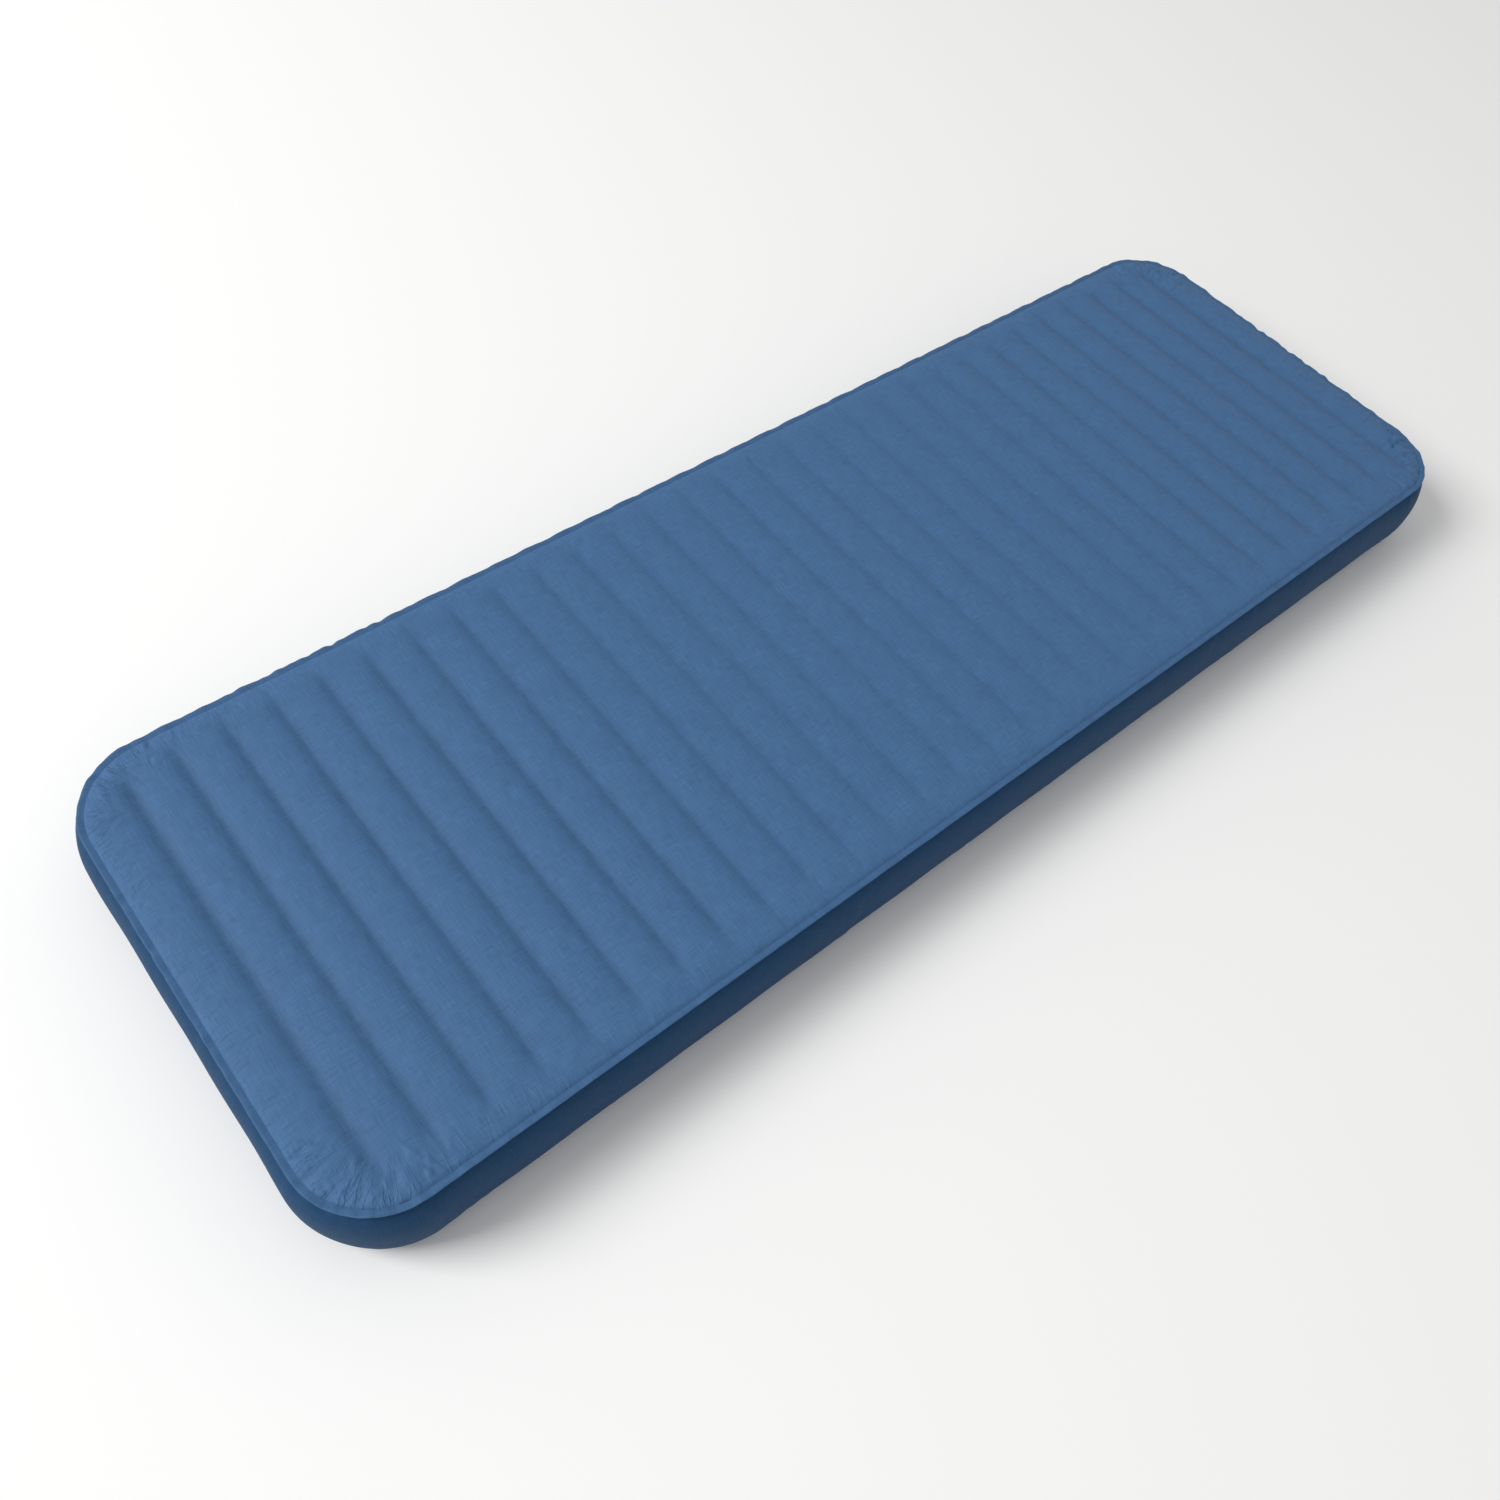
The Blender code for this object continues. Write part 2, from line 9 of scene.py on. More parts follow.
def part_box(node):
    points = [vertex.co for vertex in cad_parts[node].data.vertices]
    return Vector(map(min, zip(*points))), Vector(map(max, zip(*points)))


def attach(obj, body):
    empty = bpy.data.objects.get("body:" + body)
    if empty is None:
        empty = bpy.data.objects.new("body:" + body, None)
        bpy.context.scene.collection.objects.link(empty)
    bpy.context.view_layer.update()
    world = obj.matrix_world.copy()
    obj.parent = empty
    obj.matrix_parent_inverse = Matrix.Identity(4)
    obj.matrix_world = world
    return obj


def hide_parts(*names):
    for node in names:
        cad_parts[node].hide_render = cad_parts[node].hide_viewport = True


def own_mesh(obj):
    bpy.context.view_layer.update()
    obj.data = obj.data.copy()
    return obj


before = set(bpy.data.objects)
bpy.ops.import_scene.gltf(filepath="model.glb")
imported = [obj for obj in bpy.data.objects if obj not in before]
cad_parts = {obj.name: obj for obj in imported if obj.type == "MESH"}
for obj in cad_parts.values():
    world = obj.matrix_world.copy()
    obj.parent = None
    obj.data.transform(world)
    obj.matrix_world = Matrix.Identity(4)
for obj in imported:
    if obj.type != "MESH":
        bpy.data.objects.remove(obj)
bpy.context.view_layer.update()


# ---- The seam line ---------------------------------------------------------------------
# The mattress is a boxed bag of coated polyester cloth: an upper and a lower panel, both cut
# as the same rounded rectangle, and one strip of cloth between them. Every soft piece below
# is set out from the seam line, which runs where a panel is welded to that strip.

FLANGE_WIDTH = 0.008
CORNER_RADIUS = 0.094
flange_low, flange_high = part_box("top_flange")
wall_low, wall_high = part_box("side_wall")
CENTRE_X = 0.5 * (flange_low.x + flange_high.x)
HALF_X = 0.5 * (flange_high.x - flange_low.x) - FLANGE_WIDTH - CORNER_RADIUS
HALF_Y = flange_high.y - FLANGE_WIDTH - CORNER_RADIUS
BULGE = wall_high.y - HALF_Y - CORNER_RADIUS
SEAM_TOP = flange_low.z
QUARTER_ARC = 0.5 * math.pi * CORNER_RADIUS
CORNER_REACH = 0.11
PERIMETER = 4 * (HALF_X + HALF_Y + QUARTER_ARC)


def seam_reading(x, y):
    """How far points inside the seam line are from it, and where along it they are nearest."""
    over_x = np.abs(x) - HALF_X
    over_y = np.abs(y) - HALF_Y
    in_corner = (over_x > 0) & (over_y > 0)
    depth = np.where(in_corner, CORNER_RADIUS - np.hypot(over_x, over_y),
                     CORNER_RADIUS - np.maximum(over_x, over_y))
    turn = np.arctan2(np.maximum(over_y, 0), np.maximum(over_x, 1e-9))
    by_end = over_x >= over_y
    first = np.where(in_corner, HALF_Y + turn * CORNER_RADIUS,
                     np.where(by_end, np.abs(y), HALF_Y + QUARTER_ARC + HALF_X - np.abs(x)))
    along = np.where(x < 0, 0.5 * PERIMETER - first, first)
    along = np.where(y < 0, -along, along)
    return depth, np.mod(along, PERIMETER)


def smooth_step(low, high, value):
    """0 below low, 1 above high and an S-shaped rise between them."""
    t = np.clip((value - low) / (high - low), 0, 1)
    return t * t * (3 - 2 * t)


def corner_pull(along):
    """1 at the middle of each corner and small along the straight sides."""
    middle = HALF_Y + 0.5 * QUARTER_ARC
    half = 0.5 * PERIMETER
    near = np.minimum(np.mod(along, half), half - np.mod(along, half))
    return np.exp(-((near - middle) / CORNER_REACH) ** 2)


def seam_ripple(along):
    """Height of the puckers that the weld leaves in the cloth, for lengths along the seam."""
    turn = 2 * math.pi * along / PERIMETER
    fine = np.sin(263 * turn + 0.7) * np.sin(41 * turn + 2.0)
    middle = np.sin(173 * turn + 1.9) * np.sin(23 * turn + 0.4)
    broad = np.sin(97 * turn + 4.1) + 0.7 * np.sin(61 * turn + 0.2)
    by_corner = corner_pull(along)
    return (0.00012 + 0.0005 * by_corner) * (fine + middle) + 0.00026 * broad


# ---- Woven cloth -----------------------------------------------------------------------
# The skin is plain-woven 75 denier polyester, coated inside so that it holds air. Dyed yarn
# gives it a matt blue with a faint sheen, a fine grid of threads and slight streaks.

def linear(hex_colour):
    """Linear RGBA of an sRGB hex colour."""
    parts = [int(hex_colour[i:i + 2], 16) / 255 for i in (1, 3, 5)]
    return [p / 12.92 if p <= 0.04045 else ((p + 0.055) / 1.055) ** 2.4 for p in parts] + [1.0]


def add_node(tree, kind, links=(), inputs=None, **settings):
    """Add a node to a tree, set its properties and sockets, and link sockets into it."""
    made = tree.nodes.new(kind)
    for key, value in settings.items():
        setattr(made, key, value)
    for socket, value in (inputs or {}).items():
        made.inputs[socket].default_value = value
    for source, socket in links:
        tree.links.new(source, made.inputs[socket])
    return made


def new_material(name):
    """An empty node material with its output, as (material, tree, output)."""
    made = bpy.data.materials.new(name)
    made.use_nodes = True
    made.node_tree.nodes.clear()
    output = made.node_tree.nodes.new("ShaderNodeOutputMaterial")
    return made, made.node_tree, output


def sewn_puckers(tree):
    """Separate creases that run off a weld, 8 mm wide and 30 mm long, where "pucker" is set."""
    seam = add_node(tree, "ShaderNodeUVMap", uv_map="seam").outputs["UV"]
    drawn = add_node(tree, "ShaderNodeMapping", [(seam, "Vector")], inputs={"Scale": (120, 34, 1)})
    noise = add_node(tree, "ShaderNodeTexNoise", [(drawn.outputs["Vector"], "Vector")],
                     inputs={"Scale": 1.0, "Detail": 2.0, "Roughness": 0.5, "Distortion": 1.6})
    crease = add_node(tree, "ShaderNodeMapRange", [(noise.outputs["Fac"], "Value")],
                      inputs={"From Min": 0.50, "From Max": 0.72})
    strength = add_node(tree, "ShaderNodeAttribute", attribute_name="pucker")
    height = add_node(tree, "ShaderNodeMath", [(crease.outputs["Result"], 0),
                                               (strength.outputs["Fac"], 1)], operation="MULTIPLY")
    return add_node(tree, "ShaderNodeBump", [(height.outputs[0], "Height")],
                    inputs={"Strength": 1.0, "Distance": 0.0012})


# A wave texture repeats every 0.314 units at scale 1
WAVE_PERIOD = 0.1 * math.pi
# The real threads are about 0.15 mm apart; they are drawn 1.6 mm apart so that they show
THREAD = 0.0016


def woven_cloth(name, shade, light, bump_depth, roughness, sheen):
    """Plain-woven polyester: two thread directions, uneven yarn along both and mottled dye."""
    made, tree, output = new_material(name)
    cloth = add_node(tree, "ShaderNodeUVMap", uv_map="cloth").outputs["UV"]
    weave = []
    yarn = []
    for direction, scale in (("X", (700, 45, 1)), ("Y", (45, 700, 1))):
        wave = add_node(tree, "ShaderNodeTexWave", [(cloth, "Vector")], wave_type="BANDS",
                        bands_direction=direction,
                        inputs={"Scale": WAVE_PERIOD / THREAD, "Distortion": 0.6, "Detail": 1.0})
        weave.append(wave.outputs["Fac"])
        # Thick and thin yarn: lines about 1.4 mm wide and 22 mm long
        drawn = add_node(tree, "ShaderNodeMapping", [(cloth, "Vector")], inputs={"Scale": scale})
        slub = add_node(tree, "ShaderNodeTexNoise", [(drawn.outputs["Vector"], "Vector")],
                        inputs={"Scale": 1.0, "Detail": 1.0, "Roughness": 0.5})
        yarn.append(slub.outputs["Fac"])
    threads = add_node(tree, "ShaderNodeMath", [(weave[0], 0), (weave[1], 1)], operation="MULTIPLY")
    yarns = add_node(tree, "ShaderNodeMath", [(yarn[0], 0), (yarn[1], 1)], operation="ADD")
    mottle = add_node(tree, "ShaderNodeTexNoise", [(cloth, "Vector")],
                      inputs={"Scale": 24.0, "Detail": 4.0, "Roughness": 0.6})
    shading = add_node(tree, "ShaderNodeMath", [(mottle.outputs["Fac"], 0), (yarns.outputs[0], 2)],
                       operation="MULTIPLY_ADD", inputs={1: 0.5})
    blend = add_node(tree, "ShaderNodeMath", [(threads.outputs[0], 0), (shading.outputs[0], 2)],
                     operation="MULTIPLY_ADD", inputs={1: 0.3})
    ramp = add_node(tree, "ShaderNodeMapRange", [(blend.outputs[0], "Value")],
                    inputs={"From Min": 0.87, "From Max": 1.77})
    dye = add_node(tree, "ShaderNodeMix", [(ramp.outputs["Result"], "Factor")], data_type="RGBA")
    dye.inputs["A"].default_value = linear(shade)
    dye.inputs["B"].default_value = linear(light)
    # Painted shade: the cloth's colour is darkened along the bottom of each channel, most towards the
    # two ends
    painted_groove_shade = add_node(tree, "ShaderNodeAttribute", attribute_name="painted_groove_shade")
    depth = add_node(tree, "ShaderNodeMath", [(painted_groove_shade.outputs["Fac"], 0)], operation="MULTIPLY_ADD",
                     inputs={1: -0.17, 2: 1.0})
    colour = add_node(tree, "ShaderNodeVectorMath", [(dye.outputs["Result"], 0)], operation="SCALE")
    tree.links.new(depth.outputs[0], colour.inputs["Scale"])
    rough = add_node(tree, "ShaderNodeMapRange", [(mottle.outputs["Fac"], "Value")],
                     inputs={"From Min": 0.3, "From Max": 0.7, "To Min": roughness - 0.05,
                             "To Max": roughness + 0.05})
    height = add_node(tree, "ShaderNodeMath", [(yarns.outputs[0], 0), (threads.outputs[0], 2)],
                      operation="MULTIPLY_ADD", inputs={1: 0.5})
    puckered = sewn_puckers(tree)
    bump = add_node(tree, "ShaderNodeBump", [(height.outputs[0], "Height"),
                                             (puckered.outputs["Normal"], "Normal")],
                    inputs={"Strength": 0.55, "Distance": bump_depth})
    shader = add_node(tree, "ShaderNodeBsdfPrincipled", [
        (colour.outputs["Vector"], "Base Color"), (rough.outputs["Result"], "Roughness"),
        (bump.outputs["Normal"], "Normal")])
    shader.inputs["Sheen Weight"].default_value = sheen
    shader.inputs["Sheen Roughness"].default_value = 0.4
    # A woven surface mirrors little
    shader.inputs["Specular IOR Level"].default_value = 0.2
    tree.links.new(shader.outputs["BSDF"], output.inputs["Surface"])
    return made


# ---- Top panel -------------------------------------------------------------------------
# The upper cloth is bonded to the foam and held down by the air's pull at each crosswise
# channel, so it has wide flat ridges with narrow soft grooves, and rolls down to its seam.

GROOVES = 30
GROOVE_PITCH = 0.063
GROOVE_DEPTH = 0.0050
GROOVE_WIDTH = 0.0098
EDGE_ROLL = 0.040
PANEL_SKIN = 0.0012
CORNER_CREASES = 46
END_CREASES = 44
GROOVE_END_CREASES = 4
RIDGE_CREASES = 46
CREASE_REACH = 0.09
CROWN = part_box("top_panel")[1].z


def groove_dip(x):
    """How deep the cloth dips at each channel, with a faint crease along each ridge."""
    from_groove = (np.mod(x / GROOVE_PITCH, 1.0) - 0.5) * GROOVE_PITCH
    outermost = 0.5 * (GROOVES - 1) * GROOVE_PITCH
    valley = 0.66 * np.exp(-np.abs(from_groove / GROOVE_WIDTH) ** 1.7)
    valley = valley + 0.34 * np.exp(-(from_groove / (2.5 * GROOVE_WIDTH)) ** 2)
    valley = np.where(np.abs(x) > outermost + 0.5 * GROOVE_PITCH, 0.0, valley)
    from_ridge = (np.mod(x / GROOVE_PITCH + 0.5, 1.0) - 0.5) * GROOVE_PITCH
    crease = 0.06 * np.exp(-(from_ridge / 0.005) ** 2)
    crease = np.where(np.abs(x) > outermost, 0.0, crease)
    return valley + crease


def panel_creases():
    """Short creases that the welds draw in the panel, as rows of x, y, heading, half length,
    width and height: fans round each corner, puckers along each end and at the groove ends,
    and faint ones across the ridges near both ends.
    """
    chance = np.random.default_rng(5)
    rows = []
    for corner_x, corner_y in ((1, 1), (-1, 1), (-1, -1), (1, -1)):
        for _ in range(CORNER_CREASES):
            turn = math.radians(chance.uniform(-12, 102))
            inward = CORNER_RADIUS - chance.triangular(0.004, 0.012, 0.050)
            rows.append((corner_x * (HALF_X + inward * math.cos(turn)),
                         corner_y * (HALF_Y + inward * math.sin(turn)),
                         math.atan2(corner_y * math.sin(turn), corner_x * math.cos(turn))
                         + chance.normal(0, 0.38),
                         chance.uniform(0.006, 0.017), chance.uniform(0.0024, 0.0040),
                         chance.uniform(0.0004, 0.0013)))
    for end in (-1, 1):
        for _ in range(END_CREASES):
            inward = chance.triangular(0.004, 0.010, 0.045)
            rows.append((end * (HALF_X + CORNER_RADIUS - inward), chance.uniform(-HALF_Y, HALF_Y),
                         chance.normal(0, 0.45), chance.uniform(0.005, 0.014),
                         chance.uniform(0.0026, 0.0042), chance.uniform(0.0002, 0.0006)))
    for number in range(GROOVES):
        centre = (number + 0.5 - 0.5 * GROOVES) * GROOVE_PITCH
        for side in (-1, 1):
            for _ in range(GROOVE_END_CREASES):
                inward = chance.uniform(0.006, 0.034)
                rows.append((centre + chance.normal(0, 0.014),
                             side * (HALF_Y + CORNER_RADIUS - inward),
                             0.5 * math.pi + chance.normal(0, 0.35), chance.uniform(0.005, 0.013),
                             chance.uniform(0.003, 0.005), chance.uniform(0.0001, 0.0004)))
    for _ in range(RIDGE_CREASES):
        rows.append((chance.choice((-1, 1)) * chance.uniform(0.72, 0.94),
                     chance.uniform(-0.25, 0.25), chance.normal(0, 0.5),
                     chance.uniform(0.014, 0.034), chance.uniform(0.0035, 0.006),
                     chance.uniform(0.00008, 0.0002)))
    return np.array(rows)


def crease_height(creases, x, y):
    """Sum of the creases, each a low ridge with a dip beside it on a slightly bent line."""
    total = np.zeros_like(x)
    for centre_x, centre_y, heading, half_length, width, height in creases:
        near = np.flatnonzero((np.abs(x - centre_x) < CREASE_REACH)
                              & (np.abs(y - centre_y) < CREASE_REACH))
        step_x, step_y = x[near] - centre_x, y[near] - centre_y
        along = (step_x * math.cos(heading) + step_y * math.sin(heading)) / half_length
        across = (step_y * math.cos(heading) - step_x * math.sin(heading)) / width
        across = across + 0.5 * along ** 2
        total[near] += height * across * np.exp(-across ** 2 - along ** 2)
    return total


def channel_pull(x):
    """How hard the cloth is held down in each channel: most at the two ends."""
    return 0.38 + 0.95 * np.clip(-x - 0.1, 0, 1) + 0.60 * np.clip(x - 0.3, 0, 1)


def write_uv(mesh, per_vertex, past_the_end=False, name="cloth"):
    """Cloth coordinates in metres, so that the weave follows the cloth and closes on a ring."""
    layer = mesh.uv_layers.new(name=name)
    corner_vertex = np.zeros(len(mesh.loops), np.int32)
    mesh.loops.foreach_get("vertex_index", corner_vertex)
    places = per_vertex[corner_vertex]
    places[:, 0] += PERIMETER * past_the_end
    layer.data.foreach_set("uv", places.astype(np.float32).ravel())


def mark_points(mesh, name, values):
    """Write one number for each point of a mesh, for its material to read."""
    layer = mesh.attributes.new(name, "FLOAT", "POINT")
    layer.data.foreach_set("value", values.astype(np.float32))


def write_painted_groove_shade(mesh, x, y):
    """Mark the bottoms of the channels, where the cloth's material paints shade, most at the two ends.
    """
    inside = smooth_step(0.010, 0.060, seam_reading(x, y)[0])
    from_groove = (np.mod(x / GROOVE_PITCH, 1.0) - 0.5) * GROOVE_PITCH
    bottom = np.exp(-(from_groove / GROOVE_WIDTH) ** 2)
    bottom = np.where(np.abs(x) < 0.5 * GROOVES * GROOVE_PITCH, bottom, 0)
    mark_points(mesh, "painted_groove_shade", bottom * inside * channel_pull(x))


def write_puckers(mesh, x, y):
    """Lengths along and in from the seam, and how strongly the weld puckers the cloth there."""
    depth, along = seam_reading(x, y)
    write_uv(mesh, np.stack((along, depth), axis=1), name="seam")
    near = np.exp(-(np.maximum(depth, 0) / 0.032) ** 2)
    at_end = smooth_step(0.6, 0.9, np.abs(x))
    strength = near * (0.2 + 0.2 * at_end + 0.6 * corner_pull(along))
    # The lengths along the seam start again at the middle of the valve end
    strength = strength * smooth_step(0.0, 0.01, np.minimum(along, PERIMETER - along))
    mark_points(mesh, "pucker", strength)


def panel_height(x, y):
    """Height of the top cloth above the ground."""
    depth, along = seam_reading(x, y)
    depth = np.maximum(depth, 0)
    roll = np.sqrt(1 - (1 - np.minimum(1, depth / EDGE_ROLL)) ** 2)
    fade = smooth_step(0.006, 0.056, depth)
    unevenness = 0.10 * np.sin(3.1 * y / 0.32 + 7 * x) + 0.08 * np.sin(11 * x + 1.3)
    dip = GROOVE_DEPTH * groove_dip(x) * fade * (channel_pull(x) + unevenness)
    soft_swell = 0.0006 * np.sin(9.3 * x + 1.0) * np.cos(7.1 * y) * smooth_step(0.02, 0.1, depth)
    edge = SEAM_TOP + PANEL_SKIN
    pucker = seam_ripple(along) * np.exp(-(depth / 0.022) ** 2)
    pull = 1.3 * seam_ripple(1.7 * along + 0.3) * corner_pull(along)
    pull = pull * np.exp(-((depth - 0.03) / 0.028) ** 2)
    creases = 2 * crease_height(panel_creases(), x, y) * smooth_step(0.0, 0.006, depth)
    return edge + (CROWN - 0.0006 - edge) * roll - dip + soft_swell + pucker + pull + creases


def panel_stations():
    """Places along the panel: close together in the grooves and at both ends."""
    arc = HALF_X + CORNER_RADIUS * np.sin(np.linspace(0, 0.5 * math.pi, 42))
    # Past the thirteenth ridge from the middle, the places are even and close for the creases
    pleated = GROOVE_PITCH * 13
    end_strip = np.linspace(pleated, HALF_X, 29)
    from_groove = 0.001 * np.array((0, 1.5, 3, 5, 8, 13, 20, 27))
    from_groove = np.concatenate((-from_groove[:0:-1], from_groove, (0.5 * GROOVE_PITCH,)))
    grooves = (np.arange(GROOVES) + 0.5 - 0.5 * GROOVES) * GROOVE_PITCH
    middle = (grooves[:, None] + from_groove[None, :]).ravel()
    middle = middle[np.abs(middle) < pleated - 0.001]
    half = np.concatenate((end_strip, arc[1:]))
    return np.concatenate((-half[::-1], middle, half))


def in_scene(mesh):
    """An object in the scene for a mesh, with the mesh's name."""
    piece = bpy.data.objects.new(mesh.name, mesh)
    bpy.context.scene.collection.objects.link(piece)
    return piece


def face_outwards(piece):
    """Turn a closed piece's faces outwards and shade it smooth."""
    work = bmesh.new()
    work.from_mesh(piece.data)
    bmesh.ops.recalc_face_normals(work, faces=work.faces)
    work.to_mesh(piece.data)
    work.free()
    piece.data.shade_smooth()
    piece.data.set_sharp_from_angle(angle=math.radians(50))
    piece.data.update()


def make_top_panel():
    """Closed thin panel: a fine upper surface, a rim and a plain underside."""
    stations = panel_stations()
    over = np.maximum(np.abs(stations) - HALF_X, 0)
    half_width = HALF_Y + np.sqrt(np.maximum(CORNER_RADIUS ** 2 - over ** 2, 0))
    t = np.linspace(-1, 1, 165)
    across = 0.72 * t + 0.28 * np.sin(0.5 * math.pi * t)
    x = np.repeat(stations[:, None], len(across), axis=1)
    y = half_width[:, None] * across[None, :]
    z = panel_height(x.ravel(), y.ravel()).reshape(x.shape)
    count_x, count_y = x.shape
    upper = np.arange(count_x * count_y).reshape(count_x, count_y)
    quads = np.stack((upper[:-1, :-1], upper[1:, :-1], upper[1:, 1:], upper[:-1, 1:]), -1)
    faces = quads.reshape(-1, 4).tolist()
    rim = np.concatenate((upper[:, 0], upper[-1, 1:], upper[-2::-1, -1], upper[0, -2:0:-1]))
    # The rim has a copy underneath. Faces join the two, and strips across close the underside
    below = np.zeros(upper.size, int)
    below[rim] = upper.size + np.arange(len(rim))
    faces += np.stack((rim, below[rim], below[np.roll(rim, -1)], np.roll(rim, -1)), -1).tolist()
    for i in range(1, count_x - 2):
        strip = (upper[i, 0], upper[i, -1], upper[i + 1, -1], upper[i + 1, 0])
        faces.append(below[list(strip)].tolist())
    faces.append(below[np.concatenate((upper[1, :1], upper[0, :], upper[1, -1:]))].tolist())
    faces.append(below[np.concatenate((upper[-2, -1:], upper[-1, ::-1], upper[-2, :1]))].tolist())
    points = np.stack((CENTRE_X + x, y, z), axis=-1).reshape(-1, 3)
    under = points[rim].copy()
    under[:, 2] = SEAM_TOP + seam_ripple(seam_reading(under[:, 0] - CENTRE_X, under[:, 1])[1])
    points = np.concatenate((points, under))
    mesh = bpy.data.meshes.new("grooved_top_panel")
    mesh.from_pydata(points.tolist(), [], faces)
    write_uv(mesh, points[:, :2])
    write_painted_groove_shade(mesh, points[:, 0] - CENTRE_X, points[:, 1])
    write_puckers(mesh, points[:, 0] - CENTRE_X, points[:, 1])
    piece = in_scene(mesh)
    face_outwards(piece)
    return piece


def dress(piece, body, node, material):
    """Give a piece its material, its moving body and the CAD node that it stands for."""
    piece.data.materials.clear()
    piece.data.materials.append(material)
    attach(piece, body)
    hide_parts(node)


top_cloth = woven_cloth("woven_polyester_top", "#3C5F88", "#4A739F", 0.00025, 0.62, 0.06)
top_panel = make_top_panel()
dress(top_panel, "top", "top_panel", top_cloth)


# ---- Weld flanges ----------------------------------------------------------------------
# Each seam is a lap of two cloth margins pressed together by a hot tool. The 8 mm margin
# stands out round the mattress and is wavy, most of all where it goes round a corner.

def seam_frame(along):
    """Points of the seam line and its outward directions, for lengths measured along it.

    The length starts at the middle of the valve end and runs counter-clockwise.
    """
    along = np.mod(along, PERIMETER)
    point = np.zeros((len(along), 2))
    outward = np.zeros((len(along), 2))
    start = -HALF_Y
    corners = ((HALF_X, HALF_Y), (-HALF_X, HALF_Y), (-HALF_X, -HALF_Y), (HALF_X, -HALF_Y))
    for quarter, (corner_x, corner_y) in enumerate(corners):
        side = 2 * HALF_Y if quarter % 2 == 0 else 2 * HALF_X
        turn = 0.5 * math.pi * quarter
        normal = np.array((math.cos(turn), math.sin(turn)))
        forward = np.array((-normal[1], normal[0]))
        corner = np.array((corner_x, corner_y))
        here = np.mod(along - start, PERIMETER)
        straight = here < side
        point[straight] = (corner + CORNER_RADIUS * normal
                           - forward * (side - here[straight])[:, None])
        outward[straight] = normal
        bend = (here >= side) & (here < side + QUARTER_ARC)
        angle = turn + (here[bend] - side) / CORNER_RADIUS
        ray = np.stack((np.cos(angle), np.sin(angle)), axis=1)
        point[bend] = corner + CORNER_RADIUS * ray
        outward[bend] = ray
        start += side + QUARTER_ARC
    return point, outward


RING_STEP = 0.0032
# The strip's two ends meet at the middle of the back, so every ring starts there
JOINT_ALONG = HALF_Y + QUARTER_ARC + HALF_X
strip_along = np.linspace(0, PERIMETER, round(PERIMETER / RING_STEP), endpoint=False)
ring_along = np.mod(strip_along + JOINT_ALONG, PERIMETER)
seam_points, seam_outward = seam_frame(ring_along)


def ring_object(name, grid, uv):
    """An object from a grid of points (stations by section points), closed both ways."""
    index = np.arange(grid.shape[0] * grid.shape[1]).reshape(grid.shape[:2])
    ahead = np.roll(index, -1, axis=0)
    quads = np.stack((index, ahead, np.roll(ahead, -1, axis=1), np.roll(index, -1, axis=1)), axis=-1)
    mesh = bpy.data.meshes.new(name)
    mesh.from_pydata(grid.reshape(-1, 3).tolist(), [], quads.reshape(-1, 4).tolist())
    at_start = np.zeros(grid.shape[:2] + (4,), bool)
    at_start[-1, :, 1:3] = True
    write_uv(mesh, uv.reshape(-1, 2), at_start.ravel())
    return in_scene(mesh)


def ring_grid(offsets, heights):
    """Points of a ring from (stations by section) offsets from the seam line and heights."""
    flat = seam_points[:, None, :] + offsets[:, :, None] * seam_outward[:, None, :]
    return np.concatenate((flat + np.array((CENTRE_X, 0)), heights[:, :, None]), axis=-1)


def ring_uv(section_length):
    """Cloth coordinates of a ring: along the seam, and across its section."""
    along = np.repeat(strip_along[:, None], len(section_length), axis=1)
    across = np.repeat(section_length[None, :], len(strip_along), axis=0)
    return np.stack((along, across), axis=-1)


def make_flange(name, base, rise, wave, thickness):
    """A flat welded margin with rounded edge, lifted and waved as its cloth is."""
    reach = np.array((-0.0012, 0.002, 0.005, 0.0074, 0.0080, 0.0074, 0.005, 0.002, -0.0012))
    lift = np.array((0.0, 0.0, 0.0, 0.1, 0.5, 0.9, 1.0, 1.0, 1.0)) * thickness
    reach = np.append(reach, -0.0012)
    lift = np.append(lift, 0.5 * thickness)
    share = np.clip(reach / FLANGE_WIDTH, 0, 1)
    ripple = wave * seam_ripple(ring_along)
    sway = wave * seam_ripple(ring_along + 0.31)
    heights = base + lift + share * rise + ripple[:, None] + 1.6 * sway[:, None] * share
    offsets = reach + 0.8 * np.minimum(sway[:, None], 0) * share
    steps = np.concatenate(((0.0,), np.cumsum(np.hypot(np.diff(reach), np.diff(lift)))))
    piece = ring_object(name, ring_grid(offsets, heights), ring_uv(steps))
    face_outwards(piece)
    return piece


flange_cloth = woven_cloth("welded_polyester_flange", "#385A82", "#456B95", 0.0003, 0.60, 0.04)
top_flange = make_flange("welded_top_flange", SEAM_TOP - 0.0002, 0.0016, 1.0, 0.0014)
dress(top_flange, "top", "top_flange", flange_cloth)

# The base cloth's dark blue is partly its own colour and partly painted shade
base_cloth = woven_cloth("coated_polyester_base", "#20384F", "#2C4862", 0.0002, 0.7, 0.05)
bottom_flange = make_flange("welded_bottom_flange", 0.0, 0.0, 0.0, 0.0012)
dress(bottom_flange, "root", "bottom_flange", base_cloth)


# ---- Bottom panel ----------------------------------------------------------------------
# The lower cloth is flat on the ground. It is the same coated polyester, drawn in a darker blue that
# is partly its own colour and partly painted shade.

PANEL_INSET = 0.0004


def vertex_places(mesh):
    """All the points of a mesh, as rows of x, y and z."""
    places = np.zeros(len(mesh.vertices) * 3, np.float32)
    mesh.vertices.foreach_get("co", places)
    return places.reshape(-1, 3)


